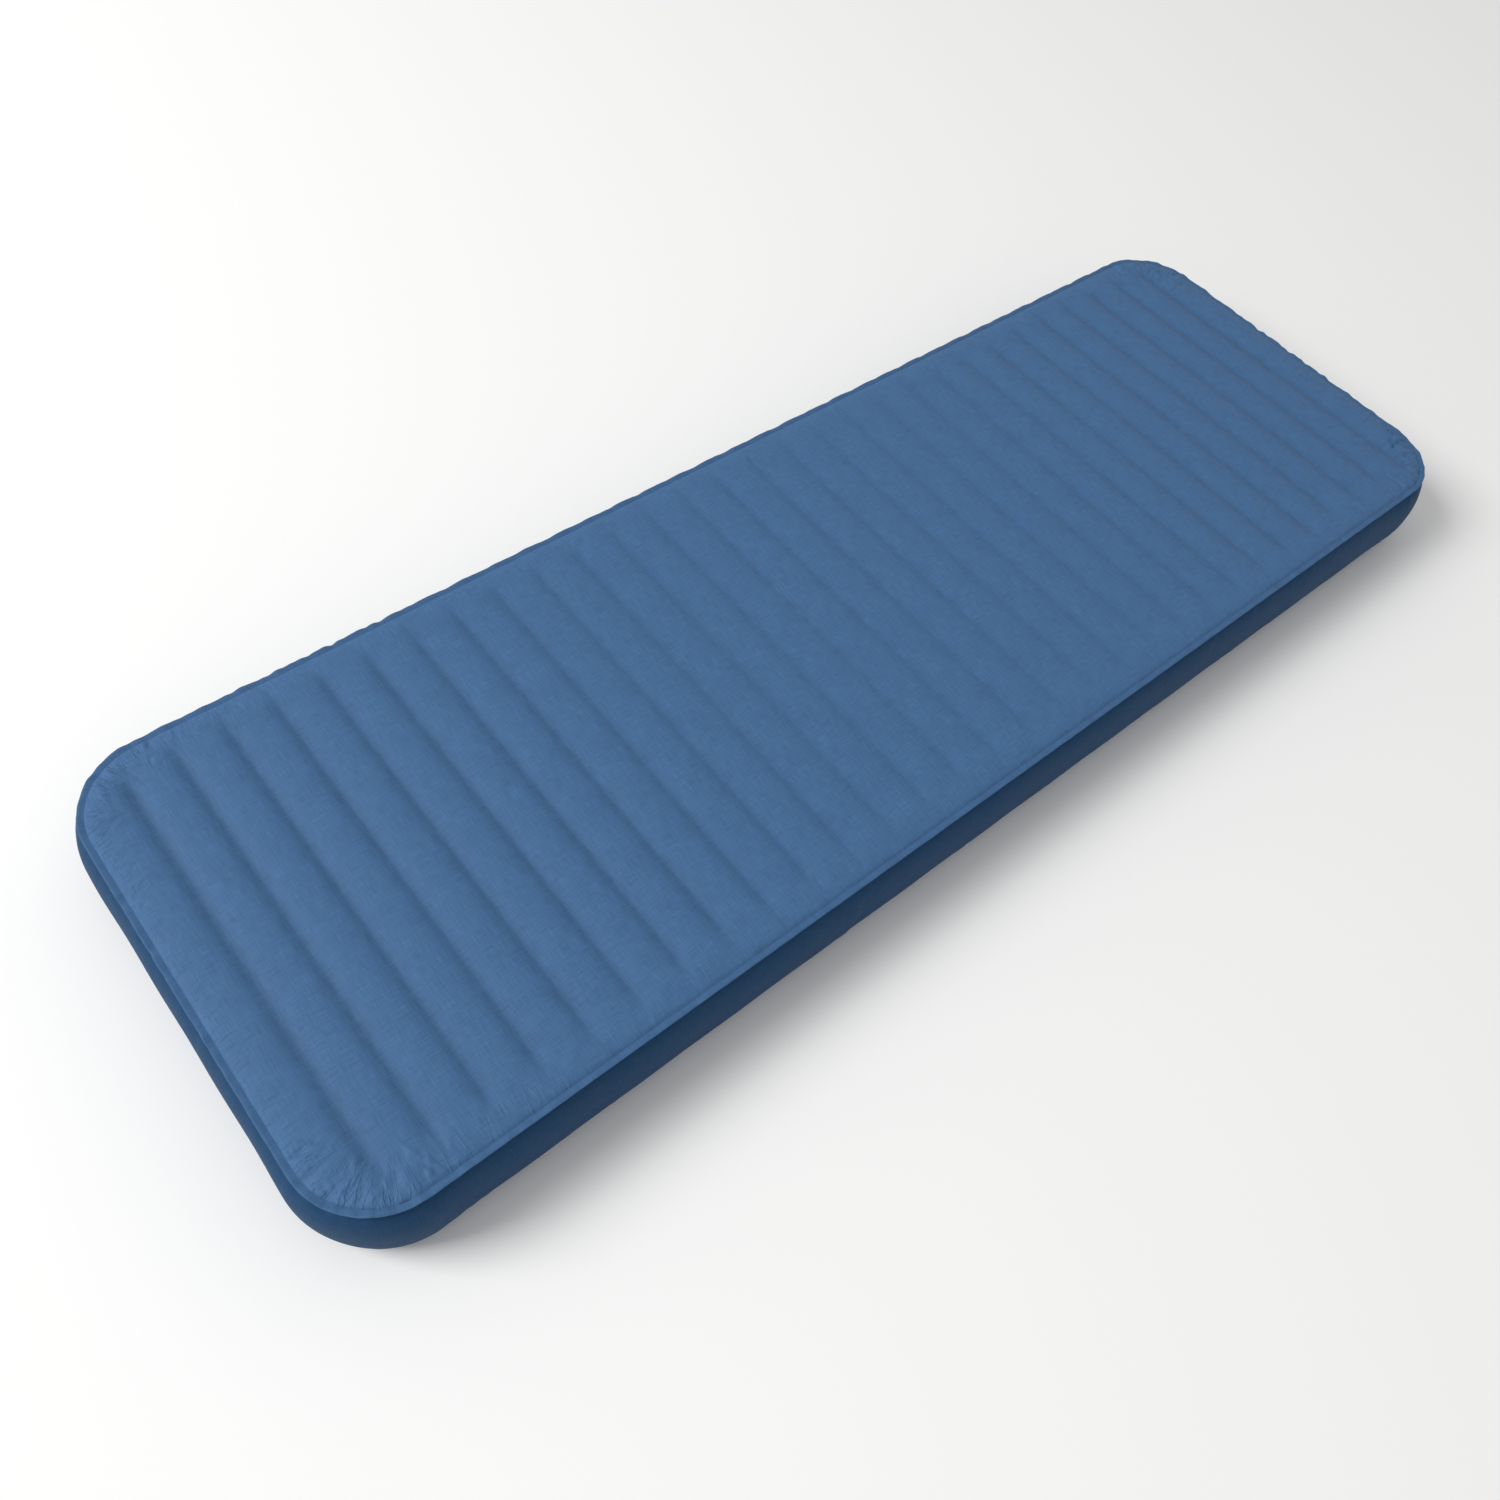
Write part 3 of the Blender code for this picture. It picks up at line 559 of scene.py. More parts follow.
def make_bottom_panel():
    """Closed flat panel inside the lower seam line."""
    low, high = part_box("bottom_panel")
    work = bmesh.new()
    outline = seam_points - PANEL_INSET * seam_outward
    rim = [work.verts.new((CENTRE_X + x, y, low.z)) for x, y in outline]
    lower = work.faces.new(rim)
    raised = bmesh.ops.extrude_face_region(work, geom=[lower])
    lifted = [item for item in raised["geom"] if isinstance(item, bmesh.types.BMVert)]
    bmesh.ops.translate(work, verts=lifted, vec=(0, 0, high.z - low.z))
    mesh = bpy.data.meshes.new("flat_bottom_panel")
    work.to_mesh(mesh)
    work.free()
    write_uv(mesh, vertex_places(mesh)[:, :2])
    piece = in_scene(mesh)
    face_outwards(piece)
    return piece


bottom_panel = make_bottom_panel()
dress(bottom_panel, "root", "bottom_panel", base_cloth)


# ---- Side wall -------------------------------------------------------------------------
# One strip of cloth, welded to both panels. The air bulges it between its seams, and it is
# flat only where the stiff valve patches are welded on. It creases a little at the corners.

WALL_SKIN = 0.0012
WALL_ROWS = 33
VALVE_SIDES = {"inflate": 1, "deflate": -1}
PATCH_FLAT = 0.027
PATCH_BLEND = 0.050
HOLE_WIDTH = 0.0158
HOLE_HEIGHT = 0.0252
SEAM_PUCKERS = 150
CORNER_FOLDS = 16
wall_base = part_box("bottom_panel")[1].z


def valve_centre(prefix):
    """Centre of a valve's flange, on the outer face of the end wall."""
    low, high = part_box(prefix + "_valve_patch")
    return Vector((wall_high.x, 0.5 * (low.y + high.y), 0.5 * (low.z + high.z)))


def wall_creases():
    """Creases of the side strip: upright puckers at both seams, slanting folds at the corners."""
    chance = np.random.default_rng(11)
    rows = []
    for seam_height in (wall_base, SEAM_TOP):
        for _ in range(SEAM_PUCKERS):
            inward = math.copysign(chance.triangular(0.004, 0.010, 0.034), 0.05 - seam_height)
            rows.append((chance.uniform(0.05, PERIMETER - 0.05), seam_height + inward,
                         0.5 * math.pi + chance.normal(0, 0.3), chance.uniform(0.005, 0.014),
                         chance.uniform(0.005, 0.008), chance.uniform(0.0002, 0.0008)))
    for corner in range(4):
        middle = (0.25 + 0.5 * corner) * PERIMETER + (-1) ** corner * 0.5 * (HALF_X - HALF_Y)
        for _ in range(CORNER_FOLDS):
            rows.append((np.mod(middle - JOINT_ALONG + chance.normal(0, 0.04), PERIMETER),
                         chance.uniform(0.025, 0.09), 0.5 * math.pi + chance.normal(0, 0.7),
                         chance.uniform(0.010, 0.026), chance.uniform(0.005, 0.010),
                         chance.uniform(0.0003, 0.0009)))
    return np.array(rows)


def make_side_wall():
    """Closed ring: a bulged outer surface and a plain inner one a skin's thickness inside."""
    t = np.linspace(-1, 1, WALL_ROWS)
    level = np.sin(0.5 * math.pi * t) * 0.35 + 0.65 * t
    bulge = BULGE * np.maximum(1 - np.abs(level) ** 2.4, 0) ** 0.6
    half_height = 0.5 * (SEAM_TOP - wall_base)
    middle = 0.5 * (SEAM_TOP + wall_base)
    height = middle + half_height * level
    ripple = seam_ripple(ring_along)
    upper_tuck = np.exp(-((1 - t) / 0.35) ** 2)
    lower_tuck = np.exp(-((1 + t) / 0.35) ** 2)
    slack = 0.0012 * np.sin(2 * math.pi * 37 * ring_along / PERIMETER + 0.8)
    slack = slack * (0.25 + 0.75 * corner_pull(ring_along))
    offsets = bulge[None, :] - 0.0006 + slack[:, None] * (1 - t[None, :] ** 2)
    offsets = offsets + 1.5 * ripple[:, None] * (upper_tuck + lower_tuck) * (1 - t[None, :] ** 4)
    heights = np.repeat(height[None, :], len(ring_along), axis=0)
    heights = heights + ripple[:, None] * smooth_step(0.6, 1.0, t)[None, :]
    along = np.repeat(strip_along[:, None], WALL_ROWS, axis=1)
    offsets = offsets + crease_height(wall_creases(), along.ravel(),
                                      heights.ravel()).reshape(along.shape)
    on_end = seam_outward[:, 0] > 0.999
    for prefix in VALVE_SIDES:
        centre = valve_centre(prefix)
        reach = np.hypot(seam_points[:, 1][:, None] - centre.y, heights - centre.z)
        flat = (1 - smooth_step(PATCH_FLAT, PATCH_BLEND, reach)) * on_end[:, None]
        offsets = offsets + flat * (BULGE - offsets)
    inner_rows = np.linspace(WALL_ROWS - 1, 0, 9).astype(int)
    inner_offsets = offsets[:, inner_rows] - WALL_SKIN
    all_offsets = np.concatenate((offsets, inner_offsets), axis=1)
    all_heights = np.concatenate((heights, heights[:, inner_rows]), axis=1)
    steps = np.concatenate(((0.0,), np.cumsum(np.hypot(np.diff(bulge), np.diff(height)))))
    steps = np.concatenate((steps, steps[inner_rows]))
    piece = ring_object("bulged_side_wall", ring_grid(all_offsets, all_heights), ring_uv(steps))
    face_outwards(piece)
    return piece


def keep_result(piece, modifier):
    """Turn a modifier's result into the piece's own mesh, and remove the modifier."""
    piece.update_tag()
    bpy.context.view_layer.update()
    result = piece.evaluated_get(bpy.context.evaluated_depsgraph_get())
    changed = bpy.data.meshes.new_from_object(result)
    piece.modifiers.remove(modifier)
    piece.data = changed


def combine(piece, tool, operation):
    """Unite a piece with a tool solid, or cut the tool out of it, and delete the tool."""
    change = piece.modifiers.new("combine", "BOOLEAN")
    change.operation = operation
    change.solver = "EXACT"
    change.object = tool
    keep_result(piece, change)
    bpy.data.objects.remove(tool)


def new_piece(name, work):
    """An object in the scene from a bmesh, which is freed."""
    mesh = bpy.data.meshes.new(name)
    work.to_mesh(mesh)
    work.free()
    return in_scene(mesh)


def cut_valve_hole(wall, prefix):
    """Oval hole behind a valve's patch, tall enough for the collar when the wall is pressed down."""
    work = bmesh.new()
    bmesh.ops.create_cone(work, cap_ends=True, segments=40, radius1=1, radius2=1, depth=0.03)
    stretch = Matrix.Diagonal((HOLE_HEIGHT, HOLE_WIDTH, 1, 1))
    turn = Matrix.Rotation(0.5 * math.pi, 4, "Y")
    work.transform(Matrix.Translation(valve_centre(prefix)) @ turn @ stretch)
    combine(wall, new_piece("hole_" + prefix, work), "DIFFERENCE")


# The side cloth is drawn darker than the top: partly the strip's own colour and partly painted shade,
# as the walls stand in shade
side_cloth = woven_cloth("woven_polyester_side", "#0F375A", "#18466C", 0.00025, 0.70, 0.0)
side_wall = make_side_wall()
for valve in VALVE_SIDES:
    cut_valve_hole(side_wall, valve)
dress(side_wall, "root", "side_wall", side_cloth)
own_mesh(side_wall)


# ---- Foam core and joint tape ----------------------------------------------------------
# Both are inside the skin. The core is open-cell polyurethane foam cored by crosswise
# channels. The tape closes the side strip where its two ends meet, and sinks with it.

def inner_copy(name, node):
    """A merged copy of a CAD node, for a piece that has to flatten with the wall."""
    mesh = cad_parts[node].data.copy()
    mesh.name = name
    work = bmesh.new()
    work.from_mesh(mesh)
    bmesh.ops.remove_doubles(work, verts=work.verts, dist=1e-6)
    bmesh.ops.recalc_face_normals(work, faces=work.faces)
    work.to_mesh(mesh)
    work.free()
    return in_scene(mesh)


def open_cell_foam():
    """Yellowish polyurethane foam: matt, with cells of about 1 mm."""
    made, tree, output = new_material("open_cell_polyurethane")
    place = add_node(tree, "ShaderNodeTexCoord").outputs["Object"]
    cells = add_node(tree, "ShaderNodeTexVoronoi", [(place, "Vector")], inputs={"Scale": 900.0})
    # Painted shade: each cell is drawn darker towards its middle, where the bump makes it dip
    ramp = add_node(tree, "ShaderNodeValToRGB", [(cells.outputs["Distance"], "Fac")])
    ramp.color_ramp.elements[0].color = linear("#B79B5E")
    ramp.color_ramp.elements[1].color = linear("#E2CE96")
    bump = add_node(tree, "ShaderNodeBump", [(cells.outputs["Distance"], "Height")],
                    inputs={"Strength": 0.7, "Distance": 0.0006})
    shader = add_node(tree, "ShaderNodeBsdfPrincipled", [(ramp.outputs["Color"], "Base Color"),
                                                         (bump.outputs["Normal"], "Normal")])
    shader.inputs["Roughness"].default_value = 0.95
    tree.links.new(shader.outputs["BSDF"], output.inputs["Surface"])
    return made


# The bonded foam is drawn a little low, so that it stays clear of the panel's soft grooves
FOAM_EASE = 0.96
foam_core = inner_copy("cored_foam_block", "foam_core")
for vertex in foam_core.data.vertices:
    vertex.co.z = wall_base + FOAM_EASE * (vertex.co.z - wall_base)
dress(foam_core, "root", "foam_core", open_cell_foam())
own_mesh(foam_core)

# The tape is drawn a little further in, so that it stays behind the wall's creases
TAPE_EASE = 0.0045
joint_tape = inner_copy("inner_joint_tape", "side_wall_joint_tape")
for vertex in joint_tape.data.vertices:
    vertex.co.y -= TAPE_EASE
write_uv(joint_tape.data, vertex_places(joint_tape.data)[:, (0, 2)])
patch_cloth = woven_cloth("coated_polyester_patch", "#28496F", "#33598A", 0.0002, 0.5, 0.05)
dress(joint_tape, "root", "side_wall_joint_tape", patch_cloth)
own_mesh(joint_tape)


# ---- Valves ----------------------------------------------------------------------------
# Two flat valves are welded to the end wall through round patches of coated cloth. Their
# bodies and hinged caps are injection-moulded thermoplastic polyurethane. They are built
# round a local axis that points out of the wall, in millimetres, with y up.

TURNED_SIDES = 96
HINGE_UP = 17.0
HINGE_OUT = 5.0
PIN_HOLE_RADIUS = 0.95


def turned_piece(name, profile):
    """A closed body turned about the valve's axis from (radius, height) points."""
    work = bmesh.new()
    corners = [work.verts.new((radius, 0, height)) for radius, height in profile]
    pairs = zip(corners, corners[1:] + corners[:1])
    edges = [work.edges.new(pair) for pair in pairs if pair[0].co.x + pair[1].co.x > 0]
    bmesh.ops.spin(work, geom=corners + edges, axis=(0, 0, 1), cent=(0, 0, 0),
                   angle=2 * math.pi, steps=TURNED_SIDES)
    bmesh.ops.remove_doubles(work, verts=work.verts, dist=0.0005)
    bmesh.ops.recalc_face_normals(work, faces=work.faces)
    return new_piece(name, work)


def rounded_bar(name, low, high, rounding):
    """A bar between two corners with all its edges rounded."""
    work = bmesh.new()
    size = Vector(high) - Vector(low)
    middle = 0.5 * (Vector(low) + Vector(high))
    bmesh.ops.create_cube(work, matrix=Matrix.Translation(middle) @ Matrix.Diagonal((*size, 1)))
    bmesh.ops.bevel(work, geom=work.edges, offset=rounding, segments=4, profile=0.5,
                    affect="EDGES")
    return new_piece(name, work)


def hinge_rod(name, radius, low, high):
    """A rod along the cap's hinge axis."""
    work = bmesh.new()
    middle = Matrix.Translation((0.5 * (low + high), HINGE_UP, HINGE_OUT))
    bmesh.ops.create_cone(work, cap_ends=True, segments=32, radius1=radius, radius2=radius,
                          depth=high - low,
                          matrix=middle @ Matrix.Rotation(0.5 * math.pi, 4, "Y"))
    return new_piece(name, work)


def fit_to_wall(piece, prefix):
    """Move a finished valve piece from its local axis, in millimetres, to its place."""
    upright = Matrix(((0, 0, 1, 0), (1, 0, 0, 0), (0, 1, 0, 0), (0, 0, 0, 1)))
    piece.data.transform(Matrix.Translation(valve_centre(prefix)) @ upright
                         @ Matrix.Scale(0.001, 4))
    piece.data.shade_smooth()
    piece.data.set_sharp_from_angle(angle=math.radians(38))


def finish_valve_piece(piece, prefix, body, node, material):
    """Give a valve piece its place, material, body and CAD node."""
    fit_to_wall(piece, prefix)
    dress(piece, prefix + body, prefix + node, material)


def moulded(name, dark, light, roughness, grain, relief):
    """Moulded polymer: satin skin with fine spark-eroded grain and faint flow marks."""
    made, tree, output = new_material(name)
    place = add_node(tree, "ShaderNodeTexCoord").outputs["Object"]
    skin = add_node(tree, "ShaderNodeTexNoise", [(place, "Vector")],
                    inputs={"Scale": 1 / grain, "Detail": 3.0, "Roughness": 0.6})
    flow = add_node(tree, "ShaderNodeTexNoise", [(place, "Vector")],
                    inputs={"Scale": 160.0, "Detail": 2.0, "Distortion": 1.2})
    ramp = add_node(tree, "ShaderNodeValToRGB", [(flow.outputs["Fac"], "Fac")])
    ramp.color_ramp.elements[0].position = 0.3
    ramp.color_ramp.elements[0].color = linear(dark)
    ramp.color_ramp.elements[1].position = 0.7
    ramp.color_ramp.elements[1].color = linear(light)
    rough = add_node(tree, "ShaderNodeMapRange", [(skin.outputs["Fac"], "Value")],
                     inputs={"From Min": 0.3, "From Max": 0.7, "To Min": roughness - 0.06,
                             "To Max": roughness + 0.06})
    bump = add_node(tree, "ShaderNodeBump", [(skin.outputs["Fac"], "Height")],
                    inputs={"Strength": 0.6, "Distance": relief})
    shader = add_node(tree, "ShaderNodeBsdfPrincipled", [
        (ramp.outputs["Color"], "Base Color"), (rough.outputs["Result"], "Roughness"),
        (bump.outputs["Normal"], "Normal")])
    shader.inputs["IOR"].default_value = 1.5
    tree.links.new(shader.outputs["BSDF"], output.inputs["Surface"])
    return made


# Polyurethane mouldings are satin, with an eroded grain of about 0.3 mm
body_plastic = moulded("moulded_polyurethane_body", "#1B1F24", "#23282E", 0.42, 0.0003, 0.00003)
cap_plastics = {
    "inflate": moulded("moulded_polyurethane_blue_cap", "#1C4270", "#235084", 0.38, 0.0003, 0.00003),
    "deflate": moulded("moulded_polyurethane_grey_cap", "#20242A", "#2A2F36", 0.38, 0.0003, 0.00003),
}
# Pressed nitrile rubber is nearly black and matt, with a fine powdery grain
gasket_rubber = moulded("pressed_nitrile_rubber", "#121212", "#1C1C1C", 0.72, 0.0002, 0.00002)
# Cast silicone is milky and soft-looking, with hardly any grain
flap_silicone = moulded("cast_silicone", "#A9ADAF", "#C3C6C7", 0.5, 0.0005, 0.00001)


def drawn_steel(name):
    """Drawn stainless steel wire: bright, with fine lines along its length."""
    made, tree, output = new_material(name)
    place = add_node(tree, "ShaderNodeTexCoord").outputs["Object"]
    # Lines 0.1 mm wide and 5 mm long, along the hinge axis
    lines = add_node(tree, "ShaderNodeMapping", [(place, "Vector")],
                     inputs={"Scale": (10000, 200, 10000)})
    draw = add_node(tree, "ShaderNodeTexNoise", [(lines.outputs["Vector"], "Vector")],
                    inputs={"Scale": 1.0, "Detail": 2.0})
    ramp = add_node(tree, "ShaderNodeValToRGB", [(draw.outputs["Fac"], "Fac")])
    ramp.color_ramp.elements[0].color = linear("#A8A9AB")
    ramp.color_ramp.elements[1].color = linear("#CFD0D2")
    rough = add_node(tree, "ShaderNodeMapRange", [(draw.outputs["Fac"], "Value")],
                     inputs={"To Min": 0.2, "To Max": 0.38})
    shader = add_node(tree, "ShaderNodeBsdfPrincipled", [
        (ramp.outputs["Color"], "Base Color"), (rough.outputs["Result"], "Roughness")])
    shader.inputs["Metallic"].default_value = 1.0
    tree.links.new(shader.outputs["BSDF"], output.inputs["Surface"])
    return made


pin_steel = drawn_steel("drawn_stainless_steel")


# ---- Valve patches ---------------------------------------------------------------------
# A disc of the coated cloth with a hole for the collar, heat-welded to the wall. It spreads
# the load of the valve's flange, and a shallow pressed ring shows where the weld tool sat.

PATCH_OUTER = 25.5
PATCH_INNER = 15.3
PATCH_BACK = 0.3
PATCH_FRONT = 0.8


def make_patch(prefix):
    """Cloth disc with a rounded rim and a pressed weld ring."""
    pressed = PATCH_FRONT - 0.12
    patch = turned_piece(prefix + "_woven_patch", [
        (PATCH_INNER, PATCH_BACK), (PATCH_OUTER - 0.2, PATCH_BACK), (PATCH_OUTER, PATCH_BACK + 0.15),
        (PATCH_OUTER, PATCH_FRONT - 0.2), (PATCH_OUTER - 0.2, PATCH_FRONT),
        (PATCH_OUTER - 0.9, PATCH_FRONT), (PATCH_OUTER - 1.1, pressed),
        (PATCH_OUTER - 2.6, pressed), (PATCH_OUTER - 2.8, PATCH_FRONT),
        (PATCH_INNER, PATCH_FRONT)])
    write_uv(patch.data, 0.001 * vertex_places(patch.data)[:, :2])
    finish_valve_piece(patch, prefix, "_valve", "_valve_patch", patch_cloth)


for valve in VALVE_SIDES:
    make_patch(valve)


# ---- Valve bodies ----------------------------------------------------------------------
# A welding flange with three raised weld rings, a collar through the wall and two lugs that
# hold the cap's pin. The pin is a cut length of steel wire.

BASE_FACE = 2.7
BASE_BACK = 1.1
BASE_RADIUS = 21.0
COLLAR_END = -14.0
COLLAR_RADIUS = 15.0
BORE_RADIUS = 12.5
WELD_RINGS = (19.4, 18.2, 17.0)
LUG_INNER = 2.7
LUG_OUTER = 4.7


def make_base(prefix):
    """Turned flange and collar, united with the two drilled lugs."""
    face = [(BASE_RADIUS, 1.3), (BASE_RADIUS, 2.2), (BASE_RADIUS - 0.15, 2.5),
            (BASE_RADIUS - 0.5, BASE_FACE)]
    for ring in WELD_RINGS:
        face += [(ring + 0.35, BASE_FACE), (ring + 0.15, BASE_FACE + 0.18),
                 (ring - 0.15, BASE_FACE + 0.18), (ring - 0.35, BASE_FACE)]
    base = turned_piece(prefix + "_moulded_valve_body", [
        (BORE_RADIUS, COLLAR_END + 0.3), (BORE_RADIUS + 0.3, COLLAR_END),
        (COLLAR_RADIUS - 0.3, COLLAR_END), (COLLAR_RADIUS, COLLAR_END + 0.3),
        (COLLAR_RADIUS, BASE_BACK), (BASE_RADIUS - 0.2, BASE_BACK)] + face + [
        (BORE_RADIUS + 0.5, BASE_FACE), (BORE_RADIUS + 0.15, BASE_FACE - 0.15),
        (BORE_RADIUS, BASE_FACE - 0.5)])
    for side in (-1, 1):
        ends = sorted((side * LUG_INNER, side * LUG_OUTER))
        lug = rounded_bar("lug", (ends[0], HINGE_UP - 1.5, BASE_FACE - 0.9),
                          (ends[1], HINGE_UP + 1.5, HINGE_OUT + 1.5), 0.35)
        combine(base, lug, "UNION")
    drill = hinge_rod("lug_drill", PIN_HOLE_RADIUS, -LUG_OUTER - 1, LUG_OUTER + 1)
    combine(base, drill, "DIFFERENCE")
    finish_valve_piece(base, prefix, "_valve", "_valve_base", body_plastic)


for valve in VALVE_SIDES:
    make_base(valve)
    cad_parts[valve + "_hinge_pin"].material_slots[0].material = pin_steel


# ---- Caps and gaskets ------------------------------------------------------------------
# Each cap is a dished disc with a ring of grip ribs, a finger tab below and a knuckle above
# that turns on the pin. Its gasket sits in a groove between two low lips.

CAP_RADIUS = 15.0
CAP_UNDER = 3.9
CAP_FACE = 6.3
KNUCKLE_HALF = 2.4
KNUCKLE_RADIUS = 1.9
GASKET_RADIUS = 13.65
GASKET_HEIGHT = 3.3


def grip_rib_tree():
    """Geometry nodes: rounded ribs in a ring on the cap's face, joined to the cap."""
    tree = bpy.data.node_groups.new("cap_grip_ribs", "GeometryNodeTree")
    tree.interface.new_socket("Cap", in_out="INPUT", socket_type="NodeSocketGeometry")
    tree.interface.new_socket("Rib Count", in_out="INPUT", socket_type="NodeSocketInt")
    for size in ("Ring Radius", "Rib Length", "Rib Width", "Rib Height", "Face Height"):
        tree.interface.new_socket(size, in_out="INPUT", socket_type="NodeSocketFloat")
    tree.interface.new_socket("Plastic", in_out="INPUT", socket_type="NodeSocketMaterial")
    tree.interface.new_socket("Ribbed Cap", in_out="OUTPUT", socket_type="NodeSocketGeometry")
    given = add_node(tree, "NodeGroupInput").outputs
    ring = add_node(tree, "GeometryNodeMeshCircle", [(given["Rib Count"], "Vertices"),
                                                     (given["Ring Radius"], "Radius")])
    where = add_node(tree, "GeometryNodeInputPosition").outputs["Position"]
    turn = add_node(tree, "FunctionNodeAlignRotationToVector", [(where, "Vector")], axis="X")
    rib = add_node(tree, "GeometryNodeMeshUVSphere", inputs={"Segments": 12, "Rings": 8,
                                                             "Radius": 0.5})
    size = add_node(tree, "ShaderNodeCombineXYZ", [
        (given["Rib Length"], "X"), (given["Rib Width"], "Y"), (given["Rib Height"], "Z")])
    ribs = add_node(tree, "GeometryNodeInstanceOnPoints", [
        (ring.outputs["Mesh"], "Points"), (rib.outputs["Mesh"], "Instance"),
        (turn.outputs["Rotation"], "Rotation"), (size.outputs["Vector"], "Scale")])
    lift = add_node(tree, "ShaderNodeCombineXYZ", [(given["Face Height"], "Z")])
    raised = add_node(tree, "GeometryNodeTranslateInstances", [
        (ribs.outputs["Instances"], "Instances"), (lift.outputs["Vector"], "Translation")],
                      inputs={"Local Space": False})
    real = add_node(tree, "GeometryNodeRealizeInstances", [(raised.outputs["Instances"], "Geometry")])
    joined = add_node(tree, "GeometryNodeJoinGeometry", [(given["Cap"], "Geometry"),
                                                         (real.outputs["Geometry"], "Geometry")])
    dressed = add_node(tree, "GeometryNodeSetMaterial", [(joined.outputs["Geometry"], "Geometry"),
                                                         (given["Plastic"], "Material")])
    add_node(tree, "NodeGroupOutput", [(dressed.outputs["Geometry"], "Ribbed Cap")])
    return tree


def apply_nodes(piece, tree, values):
    """Run a geometry node tree on a piece with named inputs, and keep its result as a mesh."""
    modifier = piece.modifiers.new(tree.name, "NODES")
    modifier.node_group = tree
    for socket in tree.interface.items_tree:
        if socket.name in values:
            modifier[socket.identifier] = values[socket.name]
    keep_result(piece, modifier)


def make_cap(prefix, ribs):
    """Dished and ribbed disc with its arm, knuckle and finger tab."""
    cap = turned_piece(prefix + "_moulded_cap", [
        (0, CAP_UNDER), (12.0, CAP_UNDER), (12.1, 3.35), (12.55, 3.35), (12.65, CAP_UNDER),
        (14.55, CAP_UNDER), (14.65, 3.55), (CAP_RADIUS - 0.1, 3.55), (CAP_RADIUS, 3.7),
        (CAP_RADIUS, CAP_FACE - 0.7), (CAP_RADIUS - 0.2, CAP_FACE - 0.25),
        (CAP_RADIUS - 0.7, CAP_FACE), (8.8, CAP_FACE), (8.4, CAP_FACE - 0.12),
        (7.6, CAP_FACE - 0.65), (6.6, CAP_FACE - 0.8), (0, CAP_FACE - 0.85)])
    arm = rounded_bar("arm", (-KNUCKLE_HALF, CAP_RADIUS - 2.0, CAP_UNDER + 0.2),
                      (KNUCKLE_HALF, HINGE_UP, CAP_FACE - 0.8), 0.2)
    combine(cap, arm, "UNION")
    combine(cap, hinge_rod("knuckle", KNUCKLE_RADIUS, -KNUCKLE_HALF, KNUCKLE_HALF), "UNION")
    tab = rounded_bar("tab", (-5.0, -CAP_RADIUS - 3.5, CAP_UNDER + 0.2),
                      (5.0, -CAP_RADIUS + 2.0, CAP_FACE - 1.0), 0.5)
    combine(cap, tab, "UNION")
    drill = hinge_rod("cap_drill", PIN_HOLE_RADIUS, -KNUCKLE_HALF - 1, KNUCKLE_HALF + 1)
    combine(cap, drill, "DIFFERENCE")
    apply_nodes(cap, ribs, {"Rib Count": 40, "Ring Radius": 11.7, "Rib Length": 4.2,
                            "Rib Width": 0.8, "Rib Height": 0.6, "Face Height": CAP_FACE,
                            "Plastic": cap_plastics[prefix]})
    finish_valve_piece(cap, prefix, "_cap", "_valve_cap", cap_plastics[prefix])


def make_gasket(prefix):
    """Ring of rounded section in the cap's groove."""
    section = [(GASKET_RADIUS + 0.85 * math.cos(turn), GASKET_HEIGHT + 0.5 * math.sin(turn))
               for turn in np.linspace(0, 2 * math.pi, 12, endpoint=False)]
    gasket = turned_piece(prefix + "_rubber_gasket", section)
    finish_valve_piece(gasket, prefix, "_cap", "_cap_gasket", gasket_rubber)


cap_ribs = grip_rib_tree()
for valve in VALVE_SIDES:
    make_cap(valve, cap_ribs)
    make_gasket(valve)


# ---- Screens, seat and flap ------------------------------------------------------------
# A perforated disc closes the inner end of each collar. The inflation valve also has a
# spoked seat, and a soft umbrella flap that lets air in and lies against the seat.

SCREEN_RADIUS = 12.2
SCREEN_BACK = -13.7
SCREEN_FRONT = -12.9
SEAT_BACK = -9.0
SEAT_FRONT = -7.2
HUB_RADIUS = 2.8
STEM_HOLE = 1.3
FLAP_FACE = -9.3
BEAD = -4.9


